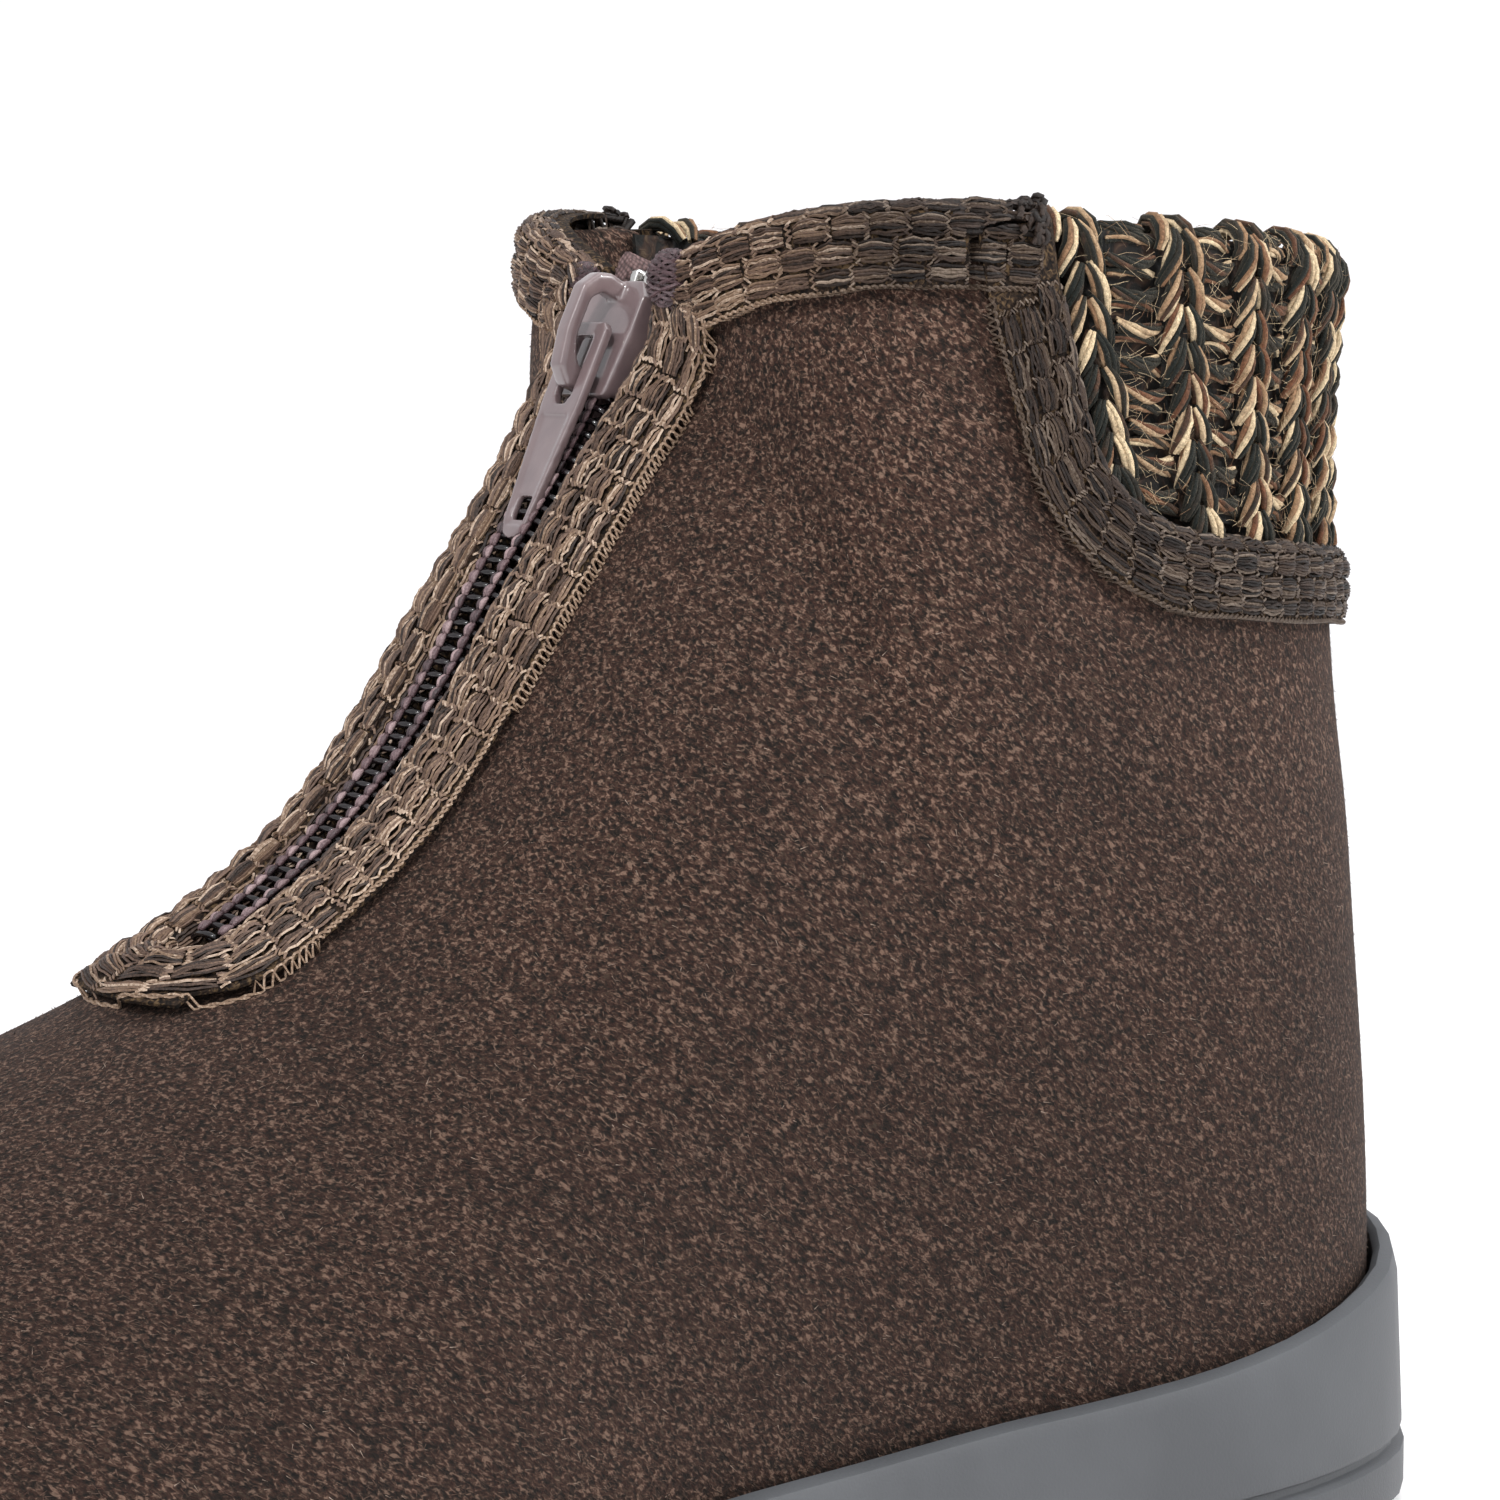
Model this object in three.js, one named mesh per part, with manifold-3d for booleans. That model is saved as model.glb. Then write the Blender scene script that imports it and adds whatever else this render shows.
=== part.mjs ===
// Ankle boot for the left foot, in millimetres.
// A felt upper with a front zip and a rib-knit panel at the back of the collar
// stands in a one-piece moulded sole. While it is modelled, X runs from the back
// of the heel to the toe, Y to the wearer's left (the outer side) and Z up from
// the floor. At the end the whole boot is moved to the centre of its own base.
import * as THREE from 'three';
import { mergeVertices } from 'three/addons/utils/BufferGeometryUtils.js';
import Module from 'manifold-3d';

// Driving dimensions of the last and the upper
const UPPER_LENGTH = 262;
const BALL_HALF_WIDTH = 46;
const WALL = 3;
const GAP = 0.3;
const TOE_OFFSET = -8;

// Collar: seen from above an ellipse round the shin, flatter and shorter in front
const COLLAR_CENTRE_X = 52;
const COLLAR_HALF_LENGTH = 46;
const COLLAR_FRONT_LENGTH = 41.4;
const COLLAR_HALF_WIDTH = 36;
const COLLAR_FRONT_FLATNESS = 0.76;

// Front opening
const ZIP_HALF_GAP = 5.5;
const ZIP_TOP_HALF_GAP = 7.2;
const THROAT_ROUND = 0.05;

// Sole: heights of the cup floor and of the tread above the ground
const HEEL_FLOOR = 15;
const FOREFOOT_FLOOR = 9;
const TOE_SPRING = 9;
const HEEL_END_X = 76;
const ARCH_RISE = 5;
const BALL_START_X = 142;
const TOE_SPRING_START_X = 196;
const HEEL_BREAST = 9;
const GROOVE_DEPTH = 3;
const GROOVE_WIDTH = 4;

// The sole's section, from the cup's floor over the rim and down to the tread.
// beside: floor or tread for the foot's outline, rim or half for the upper's face
// out: distance from there, up: height above that level (half is halfway up the rim)
const SOLE_PROFILE = [
  { beside: 'floor', out: 0.3, up: 0 },
  { beside: 'half', out: 0.42, up: 0 },
  { beside: 'rim', out: 0.42, up: -0.7 },
  { beside: 'rim', out: 1.2, up: 0 },
  { beside: 'rim', out: 2.6, up: -0.6 },
  { beside: 'rim', out: 3.1, up: -2.5 },
  { beside: 'tread', out: 4, up: 9.2 },
  { beside: 'tread', out: 4, up: 8.4 },
  { beside: 'tread', out: 3.2, up: 8 },
  { beside: 'tread', out: 3.2, up: 7.2 },
  { beside: 'tread', out: 4.3, up: 6.6 },
  { beside: 'tread', out: 4.3, up: 1.8 },
  { beside: 'tread', out: 2.7, up: 0 },
];

// Insole
const INSOLE_THICKNESS = 4;

// Binding tape, folded over the cut edges of the felt
const TAPE_WIDTH = 7.2;
const TAPE_THICKNESS = 1.4;
const TAPE_FOLD = 1;

// Rib-knit panel let into the back of the collar
const KNIT_START_ANGLE = 72;
const KNIT_DEPTH = 32;
const KNIT_CORNER = 10;
const KNIT_THICKNESS = 3.5;
const KNIT_RECESS = 0.9;
const KNIT_SEAM = 3;

// Zip
const CHAIN_HALF_WIDTH = 3;
const CHAIN_HEIGHT = 2.3;
const ZIP_TAPE_THICKNESS = 0.8;
const ZIP_TAPE_FACE = -3.6;
const ZIP_TAPE_SEAM = 5;
const KNOB_INNER = 2.2;
const KNOB_OUTER = 4.1;
const KNOB_FOOT = 0.2;
const KNOB_TOP = 3.9;
const KNOB_THICKNESS = 2.2;
const STOP_RISE = 1.2;
const SLIDER_PLACE = 6;
const SLIDER_LENGTH = 12.6;
const SLIDER_WIDTH = 9.4;
const SLIDER_TAPER = 0.6;
const SLIDER_PLATE = 1.2;
const BRIDGE_HEIGHT = 4.9;
const TAB_LENGTH = 22.5;
const TAB_HALF_WIDTH = 3.2;
const TAB_END_HALF_WIDTH = 2.05;
const TAB_THICKNESS = 1;
const TAB_LIFT_ANGLE = 0;
const PIVOT_LIFT = 2.1;

// Steps of the meshes
const STEPS_PER_STATION = 3;
const STEPS_UP = 9;

// The upper's sections from the toe to the back of the heel. Each one is a curve
// from the foot line, where the felt meets the sole, to the top line.
// along: place of its foot, as a part of the upper's length
// outer, inner: half widths at its foot, as parts of the ball's half width
// top: where it meets the top line, 0 to 1 the vamp's ridge, 1 to 2 the front of
//   the leg and 2 to 3 the collar
// foot: how far and which way it sets off from its foot, ahead, outwards and up
// head: the same from its top, ahead, outwards and down
// rim: height of the sole's rim beside it
const SECTION_COLUMNS = ['along', 'outer', 'inner', 'top', 'foot', 'head', 'rim'];
const SECTIONS = [
  [1, 0, 0, 0, [1, 0, 17], [24, 0, 4], 27],
  [0.977, 0.42, 0.45, 0.06, [1, 0.5, 18], [21, 11, 3], 26],
  [0.915, 0.8, 0.77, 0.2, [0.5, 1, 19], [12, 21, 1], 22.5],
  [0.815, 1, 0.93, 0.42, [0, 1.5, 20], [4, 26, 0], 19.5],
  [0.7, 1.06, 0.98, 0.62, [0, 2, 22], [1, 27, 0], 18],
  [0.6, 0.99, 0.88, 0.81, [0, 2, 26], [0, 28, 1], 17.5],
  [0.51, 0.89, 0.73, 1, [1, 2.5, 30], [-1, 28, 2], 18],
  [0.425, 0.78, 0.64, 1.28, [2, 3, 38], [0, 28, 4], 19],
  [0.345, 0.73, 0.63, 1.6, [4, 4, 48], [0, 31, 6], 19.5],
  [0.275, 0.72, 0.65, 2, [4, 5, 55], [0, 34, 16], 20.5],
  [0.225, 0.73, 0.68, 2.13, [4, 4, 54], [-3, 19.5, 28], 21],
  [0.165, 0.73, 0.7, 2.28, [3, 3, 52], [-1, 7.5, 33], 22],
  [0.105, 0.68, 0.66, 2.5, [2, 3, 50], [-1, -1.5, 36], 24],
  [0.048, 0.54, 0.54, 2.71, [0, 2, 46], [3, -3.5, 38], 27],
  [0.012, 0.3, 0.3, 2.86, [-1.5, 1, 44], [6, -1.5, 38], 29.5],
  [0, 0, 0, 3, [-2.5, 0, 42], [8, 0, 38], 30.5],
];
const STATIONS = SECTIONS.map((row) => {
  return Object.fromEntries(SECTION_COLUMNS.map((column, index) => [column, row[index]]));
});
const THROAT_STATION = 6;
const LAST_STATION = STATIONS.length - 1;

// Centre line of the front in side view, from the toe's crown to the zip's top.
// The row named throat is where the opening starts.
const FRONT_LINE = [
  { x: 228, z: 47.5 },
  { x: 209, z: 50.5 },
  { x: 188, z: 54.5 },
  { x: 167, z: 60.5 },
  { x: 147, z: 68.5 },
  { x: 138.5, z: 73 },
  { x: 130.5, z: 78.5 },
  { x: 123.5, z: 85 },
  { x: 117, z: 93 },
  { x: 111.3, z: 102 },
  { x: 104.9, z: 111 },
  { x: 99.4, z: 119.5 },
  { x: 95.4, z: 127 },
  { x: 93.4, z: 132.4 },
];
const THROAT_ROW = 4;

// Height of the collar round the shin, by angle from the front
const COLLAR_LINE = [
  { angle: 0, z: 132.4 },
  { angle: 8, z: 133.4 },
  { angle: 16, z: 135.4 },
  { angle: 28, z: 137.4 },
  { angle: 50, z: 138.9 },
  { angle: 78, z: 138.3 },
  { angle: 120, z: 136.4 },
  { angle: 180, z: 134 },
];

// Grooves of the tread: place along the sole, ends to the left and right, turn
const TREAD_GROOVES = [
  { x: 18, left: 17, right: -17, tilt: 0 },
  { x: 31, left: 25, right: -25, tilt: 0 },
  { x: 44, left: 27, right: -27, tilt: 0 },
  { x: 57, left: 27, right: -27, tilt: 0 },
  { x: 152, left: 38, right: -34, tilt: 6 },
  { x: 164, left: 41, right: -38, tilt: 6 },
  { x: 176, left: 42, right: -41, tilt: 6 },
  { x: 188, left: 41, right: -43, tilt: 6 },
  { x: 200, left: 39, right: -43, tilt: 6 },
  { x: 212, left: 35, right: -42, tilt: 6 },
  { x: 224, left: 30, right: -39, tilt: 6 },
  { x: 236, left: 23, right: -34, tilt: 6 },
  { x: 247, left: 13, right: -27, tilt: 6 },
];

// Colours and finishes
const FELT = { color: 0x4c3d36, roughness: 0.95, metalness: 0 };
const BRAID = { color: 0x4f4238, roughness: 0.8, metalness: 0 };
const KNIT = { color: 0x61564a, roughness: 0.95, metalness: 0 };
const SOLE = { color: 0x575b60, roughness: 0.6, metalness: 0 };
const FOOTBED = { color: 0x6b5c4c, roughness: 0.9, metalness: 0 };
const ZIP_CLOTH = { color: 0x5b4540, roughness: 0.85, metalness: 0 };
const COIL = { color: 0x3b2b2c, roughness: 0.4, metalness: 0 };
const PAINTED_METAL = { color: 0x8f7d7c, roughness: 0.35, metalness: 0.3 };
const SILVER = { color: 0xc8c8c8, roughness: 0.3, metalness: 0.9 };

const wasm = await Module();
wasm.setup();

const UP = new THREE.Vector3(0, 0, 1);
const radians = THREE.MathUtils.degToRad;

// Curves through table rows

function catmullRom(a, b, c, d, t) {
  const linear = (c - a) * t;
  const square = (2 * a - 5 * b + 4 * c - d) * t * t;
  const cube = (3 * b - a - 3 * c + d) * t * t * t;
  return b + 0.5 * (linear + square + cube);
}

function alongRows(rows, place) {
  const last = rows.length - 1;
  const start = THREE.MathUtils.clamp(Math.floor(place), 0, last - 1);
  const t = place - start;
  const value = (index, key) => {
    if (index < 0) return 2 * rows[0][key] - rows[1][key];
    if (index > last) return 2 * rows[last][key] - rows[last - 1][key];
    return rows[index][key];
  };
  const result = {};
  for (const key of Object.keys(rows[0])) {
    const near = [-1, 0, 1, 2].map((step) => value(start + step, key));
    result[key] = catmullRom(...near, t);
  }
  return result;
}

function placeOfAngle(angle) {
  const last = COLLAR_LINE.length - 1;
  let row = 0;
  while (row < last - 1 && COLLAR_LINE[row + 1].angle < angle) row += 1;
  let low = row;
  let high = row + 1;
  for (let pass = 0; pass < 24; pass += 1) {
    const middle = (low + high) / 2;
    if (alongRows(COLLAR_LINE, middle).angle < angle) low = middle;
    else high = middle;
  }
  return (low + high) / 2;
}

// The top line: ridge of the vamp, zip's edge, collar. side is 1 outer, -1 inner.

function frontPoint(top) {
  const rowsAfter = FRONT_LINE.length - 1 - THROAT_ROW;
  const place = top < 1 ? top * THROAT_ROW : THROAT_ROW + (top - 1) * rowsAfter;
  return alongRows(FRONT_LINE, place);
}

function halfGap(top) {
  const short = 1 - THREE.MathUtils.clamp((top - 1) / THROAT_ROUND, 0, 1);
  const opening = Math.sqrt(1 - short * short);
  const spread = THREE.MathUtils.smoothstep(top, 1.7, 1.95);
  return ZIP_HALF_GAP * opening + (ZIP_TOP_HALF_GAP - ZIP_HALF_GAP) * spread;
}

function collarAngle(top) {
  return (top - 2) * 180;
}

function topPoint(side, top) {
  if (top <= 2) {
    const { x, z } = frontPoint(top);
    return new THREE.Vector3(x, ridgeLine(x), z);
  }
  const angle = collarAngle(top);
  const { z } = alongRows(COLLAR_LINE, placeOfAngle(angle));
  const ahead = Math.cos(radians(angle));
  const across = Math.sin(radians(angle));
  if (ahead < 0) {
    const x = COLLAR_CENTRE_X + COLLAR_HALF_LENGTH * ahead;
    return new THREE.Vector3(x, side * COLLAR_HALF_WIDTH * across, z);
  }
  const x = COLLAR_CENTRE_X + COLLAR_FRONT_LENGTH * ahead ** COLLAR_FRONT_FLATNESS;
  return new THREE.Vector3(x, side * COLLAR_HALF_WIDTH * across ** COLLAR_FRONT_FLATNESS, z);
}

// The vamp's ridge leans towards the big toe in front of the throat.
function ridgeLine(x) {
  const throat = FRONT_LINE[THROAT_ROW].x;
  const towardsToe = Math.max(0, x - throat) / (UPPER_LENGTH - throat);
  return TOE_OFFSET * towardsToe ** 2;
}

// Heights under the foot

function ground(x) {
  const toe = THREE.MathUtils.clamp((x - TOE_SPRING_START_X) / (UPPER_LENGTH - TOE_SPRING_START_X), 0, 1.1);
  const breast = THREE.MathUtils.smoothstep(x, HEEL_END_X, HEEL_END_X + HEEL_BREAST);
  const arch = 1 - THREE.MathUtils.smoothstep(x, HEEL_END_X + 14, BALL_START_X);
  const heelBack = Math.max(0, 8 - x) / 8;
  return TOE_SPRING * toe ** 1.7 + ARCH_RISE * breast * arch + 1.5 * heelBack ** 2;
}

function cupFloor(x) {
  const drop = THREE.MathUtils.smoothstep(x, 70, 165);
  const toe = THREE.MathUtils.clamp((x - TOE_SPRING_START_X) / (UPPER_LENGTH - TOE_SPRING_START_X), 0, 1.1);
  return HEEL_FLOOR + (FOREFOOT_FLOOR - HEEL_FLOOR) * drop + TOE_SPRING * toe ** 1.7;
}

// The sections between the rows of the table

function stationRow(side, index) {
  if (index < 0) return { ...stationRow(-side, -index), top: -STATIONS[-index].top };
  if (index > LAST_STATION) {
    const mirrored = 2 * LAST_STATION - index;
    return { ...stationRow(-side, mirrored), top: 6 - STATIONS[mirrored].top };
  }
  const row = STATIONS[index];
  const x = row.along * UPPER_LENGTH;
  const width = (side > 0 ? row.outer : row.inner) * BALL_HALF_WIDTH;
  const bend = TOE_OFFSET * Math.max(0, row.along - 0.5) / 0.5;
  const y = side * width + bend;
  const head = topPoint(side, row.top);
  return {
    x,
    y,
    top: row.top,
    rim: row.rim,
    lowX: x + row.foot[0],
    lowY: y + side * row.foot[1],
    lowZ: cupFloor(x) + GAP + row.foot[2],
    highX: head.x + row.head[0],
    highY: head.y + side * row.head[1],
    highZ: head.z - row.head[2],
  };
}

function station(side, u) {
  const start = THREE.MathUtils.clamp(Math.floor(u), 0, LAST_STATION - 1);
  const rows = [-1, 0, 1, 2].map((step) => stationRow(side, start + step));
  const result = {};
  for (const key of Object.keys(rows[0])) {
    result[key] = catmullRom(...rows.map((row) => row[key]), u - start);
  }
  return result;
}

function outline(side, u, outwards = 0) {
  const at = station(side, u);
  const step = 0.02;
  const ahead = u + step > LAST_STATION ? station(side, LAST_STATION) : station(side, u + step);
  const behind = u - step < 0 ? station(side, 0) : station(side, u - step);
  let normal = new THREE.Vector2(behind.y - ahead.y, ahead.x - behind.x);
  if (u < step) normal = new THREE.Vector2(1, 0);
  else if (u > LAST_STATION - step) normal = new THREE.Vector2(-1, 0);
  else normal.multiplyScalar(-side).normalize();
  return { x: at.x + normal.x * outwards, y: at.y + normal.y * outwards, normal, rim: at.rim };
}

// A section of the last, from the foot line (v 0) to the top line (v 1).
function lastPoint(side, u, v) {
  const at = station(side, u);
  const foot = new THREE.Vector3(at.x, at.y, cupFloor(at.x) + GAP);
  const head = topPoint(side, THREE.MathUtils.clamp(at.top, 0, 3));
  const low = new THREE.Vector3(at.lowX, at.lowY, at.lowZ);
  const high = new THREE.Vector3(at.highX, at.highY, at.highZ);
  const w = 1 - v;
  const point = foot.multiplyScalar(w * w * w);
  point.addScaledVector(low, 3 * w * w * v);
  point.addScaledVector(high, 3 * w * v * v);
  return point.addScaledVector(head, v * v * v);
}

// The part of a section below the zip's opening, found once for each place.
const limits = new Map();

function sectionLimit(side, u) {
  const key = `${side} ${u.toFixed(5)}`;
  if (!limits.has(key)) limits.set(key, findLimit(side, u));
  return limits.get(key);
}

function findLimit(side, u) {
  const { top } = station(side, u);
  if (top <= 1 || top > 2.5) return 1;
  const gap = halfGap(top);
  if (Math.abs(topPoint(side, Math.min(top, 3)).y) >= gap) return 1;
  let low = 0.4;
  let high = 1;
  for (let pass = 0; pass < 26; pass += 1) {
    const middle = (low + high) / 2;
    if (side * lastPoint(side, u, middle).y > gap) low = middle;
    else high = middle;
  }
  return (low + high) / 2;
}

// The upper's outer face. u runs from toe (0) to heel, v from foot (0) to its edge (1).
function upperPoint(side, u, v) {
  return lastPoint(side, u, v * sectionLimit(side, u));
}

// Station at which the zip's edge turns into the collar
function cornerStation() {
  let low = THROAT_STATION;
  let high = LAST_STATION;
  for (let pass = 0; pass < 30; pass += 1) {
    const middle = (low + high) / 2;
    if (sectionLimit(1, middle) < 1) low = middle;
    else high = middle;
  }
  return high;
}

// Where on the top line the throat's round end has turned by an angle
function throatTop(angle) {
  return 1 + THROAT_ROUND * (1 - Math.cos(radians(angle)));
}

function stationOfTop(top) {
  let low = 0;
  let high = LAST_STATION;
  for (let pass = 0; pass < 30; pass += 1) {
    const middle = (low + high) / 2;
    if (station(1, middle).top < top) low = middle;
    else high = middle;
  }
  return (low + high) / 2;
}

// Meshes from grids of points

function solidFromTriangles(points, triangles) {
  const geometry = new THREE.BufferGeometry();
  const flat = points.flatMap((point) => [point.x, point.y, point.z]);
  geometry.setAttribute('position', new THREE.Float32BufferAttribute(flat, 3));
  geometry.setIndex(triangles.flat());
  const merged = mergeVertices(geometry, 1e-4);
  const index = Array.from(merged.index.array);
  const kept = [];
  for (let i = 0; i < index.length; i += 3) {
    const [a, b, c] = [index[i], index[i + 1], index[i + 2]];
    if (a !== b && b !== c && a !== c) kept.push(a, b, c);
  }
  merged.setIndex(kept);
  if (signedVolume(merged) < 0) {
    for (let i = 0; i < kept.length; i += 3) [kept[i], kept[i + 1]] = [kept[i + 1], kept[i]];
    merged.setIndex(kept);
  }
  return merged;
}

function signedVolume(geometry) {
  const position = geometry.attributes.position;
  const index = geometry.index.array;
  const corner = (i) => new THREE.Vector3().fromBufferAttribute(position, index[i]);
  let volume = 0;
  for (let i = 0; i < index.length; i += 3) {
    volume += corner(i).dot(corner(i + 1).cross(corner(i + 2))) / 6;
  }
  return volume;
}

function toManifold(geometry) {
  const vertProperties = new Float32Array(geometry.attributes.position.array);
  const triVerts = new Uint32Array(geometry.index.array);
  return new wasm.Manifold(new wasm.Mesh({ numProp: 3, vertProperties, triVerts }));
}

function fromManifold(solid) {
  const mesh = solid.getMesh();
  const geometry = new THREE.BufferGeometry();
  geometry.setAttribute('position', new THREE.Float32BufferAttribute(mesh.vertProperties, 3));
  geometry.setIndex(Array.from(mesh.triVerts));
  return geometry;
}

// A closed loft: each ring is a list of points, all of the same length.
function loft(rings, { closedPath = false } = {}) {
  const size = rings[0].length;
  const points = rings.flat();
  const triangles = [];
  const last = closedPath ? rings.length : rings.length - 1;
  for (let i = 0; i < last; i += 1) {
    const here = i * size;
    const next = ((i + 1) % rings.length) * size;
    for (let j = 0; j < size; j += 1) {
      const k = (j + 1) % size;
      triangles.push([here + j, here + k, next + k], [here + j, next + k, next + j]);
    }
  }
  if (!closedPath) {
    for (const [ring, flip] of [[0, true], [rings.length - 1, false]]) {
      for (const face of capTriangles(rings[ring])) {
        const [a, b, c] = face.map((corner) => corner + ring * size);
        triangles.push(flip ? [c, b, a] : [a, b, c]);
      }
    }
  }
  return solidFromTriangles(points, triangles);
}

// Triangles of a flat ring, found in the plane that suits it best.
function capTriangles(ring) {
  const normal = new THREE.Vector3();
  for (let i = 0; i < ring.length; i += 1) {
    normal.add(ring[i].clone().cross(ring[(i + 1) % ring.length]));
  }
  normal.normalize();
  const across = Math.abs(normal.z) > 0.9 ? new THREE.Vector3(1, 0, 0) : UP.clone();
  across.addScaledVector(normal, -across.dot(normal)).normalize();
  const along = normal.clone().cross(across);
  const flat = ring.map((point) => new THREE.Vector2(point.dot(across), point.dot(along)));
  return THREE.ShapeUtils.triangulateShape(flat, []);
}

// Columns of the upper: outer side from toe to heel, then inner side back again.
function upperColumns() {
  const steps = LAST_STATION * STEPS_PER_STATION;
  const places = Array.from({ length: steps + 1 }, (_, i) => i / STEPS_PER_STATION);
  for (const angle of [22.5, 45, 67.5, 90]) places.push(stationOfTop(throatTop(angle)));
  places.push(cornerStation());
  places.sort((a, b) => a - b);
  const outer = places.map((u) => ({ side: 1, u }));
  const inner = places.slice(1, -1).reverse().map((u) => ({ side: -1, u }));
  return [...outer, ...inner];
}

// The felt as one wall, before the window for the knit is cut.
function feltShell() {
  const columns = upperColumns();
  const heights = Array.from({ length: STEPS_UP + 1 }, (_, i) => i / STEPS_UP);
  const outer = columns.map(({ side, u }) => heights.map((v) => upperPoint(side, u, v)));
  for (let c = 0; c < columns.length; c += 1) {
    const mirrored = (columns.length - c) % columns.length;
    if (columns[c].u <= THROAT_STATION) outer[mirrored][STEPS_UP] = outer[c][STEPS_UP];
  }
  const skin = new THREE.BufferGeometry();
  const flat = outer.flat().flatMap((point) => [point.x, point.y, point.z]);
  skin.setAttribute('position', new THREE.Float32BufferAttribute(flat, 3));
  const rows = STEPS_UP + 1;
  const quads = [];
  for (let c = 0; c < columns.length; c += 1) {
    const next = (c + 1) % columns.length;
    for (let r = 0; r < STEPS_UP; r += 1) {
      quads.push([c * rows + r, next * rows + r, next * rows + r + 1]);
      quads.push([c * rows + r, next * rows + r + 1, c * rows + r + 1]);
    }
  }
  skin.setIndex(quads.flat());
  const normals = smoothNormals(skin);
  const inner = outer.flat().map((point, i) => point.clone().addScaledVector(normals[i], -WALL));
  const count = outer.flat().length;
  const triangles = [...quads, ...quads.map(([a, b, c]) => [count + c, count + b, count + a])];
  for (let c = 0; c < columns.length; c += 1) {
    const next = (c + 1) % columns.length;
    const foot = [c * rows, next * rows];
    triangles.push([foot[1], foot[0], count + foot[0]], [foot[1], count + foot[0], count + foot[1]]);
    if (columns[c].u < THROAT_STATION || columns[next].u < THROAT_STATION) continue;
    const top = [c * rows + STEPS_UP, next * rows + STEPS_UP];
    triangles.push([top[0], top[1], count + top[1]], [top[0], count + top[1], count + top[0]]);
  }
  return solidFromTriangles([...outer.flat(), ...inner], triangles);
}

// Area-weighted normals, shared between points that lie together.
function smoothNormals(geometry) {
  const position = geometry.attributes.position;
  const index = geometry.index.array;
  const key = (i) => [0, 1, 2].map((axis) => Math.round(position.getComponent(i, axis) * 1000)).join();
  const sums = new Map();
  for (let i = 0; i < index.length; i += 3) {
    const [a, b, c] = [0, 1, 2].map((j) => new THREE.Vector3().fromBufferAttribute(position, index[i + j]));
    const face = b.clone().sub(a).cross(c.clone().sub(a));
    for (let j = 0; j < 3; j += 1) {
      const name = key(index[i + j]);
      if (!sums.has(name)) sums.set(name, new THREE.Vector3());
      sums.get(name).add(face);
    }
  }
  const normals = [];
  for (let i = 0; i < position.count; i += 1) normals.push(sums.get(key(i)).clone().normalize());
  return normals;
}

// Directions on the upper's face

function faceAxes(side, u, v) {
  const step = 0.01;
  const here = Math.min(Math.max(u, step), LAST_STATION - step);
  const alongU = upperPoint(side, here + step, v).sub(upperPoint(side, here - step, v));
  const alongV = upperPoint(side, here, v + step).sub(upperPoint(side, here, v - step));
  alongU.divideScalar(2 * step);
  alongV.divideScalar(2 * step);
  const normal = alongU.clone().cross(alongV).multiplyScalar(side).normalize();
  return { alongU, alongV, normal };
}

// Walks over the face from a place in a direction, and returns the new place.
function walk(place, direction, distance) {
  const steps = Math.max(1, Math.ceil(Math.abs(distance) / 1.5));
  const size = distance / steps;
  let { side, u, v } = place;
  const heading = direction.clone();
  for (let i = 0; i < steps; i += 1) {
    const { alongU, alongV, normal } = faceAxes(side, u, v);
    heading.addScaledVector(normal, -heading.dot(normal)).normalize();
    const uu = alongU.dot(alongU);
    const uv = alongU.dot(alongV);
    const vv = alongV.dot(alongV);
    const onU = alongU.dot(heading);
    const onV = alongV.dot(heading);
    const determinant = uu * vv - uv * uv;
    u += (size * (onU * vv - onV * uv)) / determinant;
    v += (size * (onV * uu - onU * uv)) / determinant;
    if (u > LAST_STATION) {
      u = 2 * LAST_STATION - u;
      side = -side;
    }
  }
  return { side, u, v };
}

function facePoint(place, lift) {
  const { normal } = faceAxes(place.side, place.u, place.v);
  return upperPoint(place.side, place.u, place.v).addScaledVector(normal, lift);
}

// A tape folded over an edge of the felt. path is a list of places along the edge,
// and away turns the path's direction towards the felt.
function foldedTape(path, turn) {
  const rings = path.map((place, index) => {
    const before = facePoint(path[Math.max(0, index - 1)], 0);
    const after = facePoint(path[Math.min(path.length - 1, index + 1)], 0);
    const ahead = after.sub(before).normalize();
    const { normal } = faceAxes(place.side, place.u, place.v);
    const away = ahead.clone().cross(normal).multiplyScalar(turn).normalize();
    const edge = upperPoint(place.side, place.u, place.v);
    const at = (out, lift) => edge.clone().addScaledVector(away, out).addScaledVector(normal, lift);
    const on = (out, lift) => facePoint(walk(place, away, out), lift);
    return [
      at(-3 * GAP - TAPE_FOLD * 0.7, -WALL),
      at(-3 * GAP, -WALL),
      at(-GAP, GAP),
      on(TAPE_WIDTH / 2, 3 * GAP),
      on(TAPE_WIDTH, 3 * GAP),
      on(TAPE_WIDTH, GAP + TAPE_THICKNESS * 0.8),
      on(TAPE_WIDTH * 0.75, GAP + TAPE_THICKNESS),
      at(-GAP, GAP + TAPE_THICKNESS),
      at(-GAP - TAPE_FOLD, TAPE_THICKNESS * 0.4),
    ];
  });
  return loft(rings);
}

// The knit panel's window. across runs from 1 at its outer front edge over 0 at the
// back of the heel to -1 at its inner front edge, depth from the collar down.

function knitPlace(across, depth) {
  const side = across < 0 ? -1 : 1;
  const start = stationOfTop(2 + KNIT_START_ANGLE / 180);
  const u = LAST_STATION - Math.abs(across) * (LAST_STATION - start);
  const length = upperPoint(side, u, 1).distanceTo(upperPoint(side, u, 0.72)) / 0.28;
  let v = 1 - depth / length;
  for (let pass = 0; pass < 4; pass += 1) {
    const reached = upperPoint(side, u, 1).distanceTo(upperPoint(side, u, v));
    v -= (depth - Math.sign(depth) * reached) / length;
  }
  return { side, u, v };
}

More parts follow.
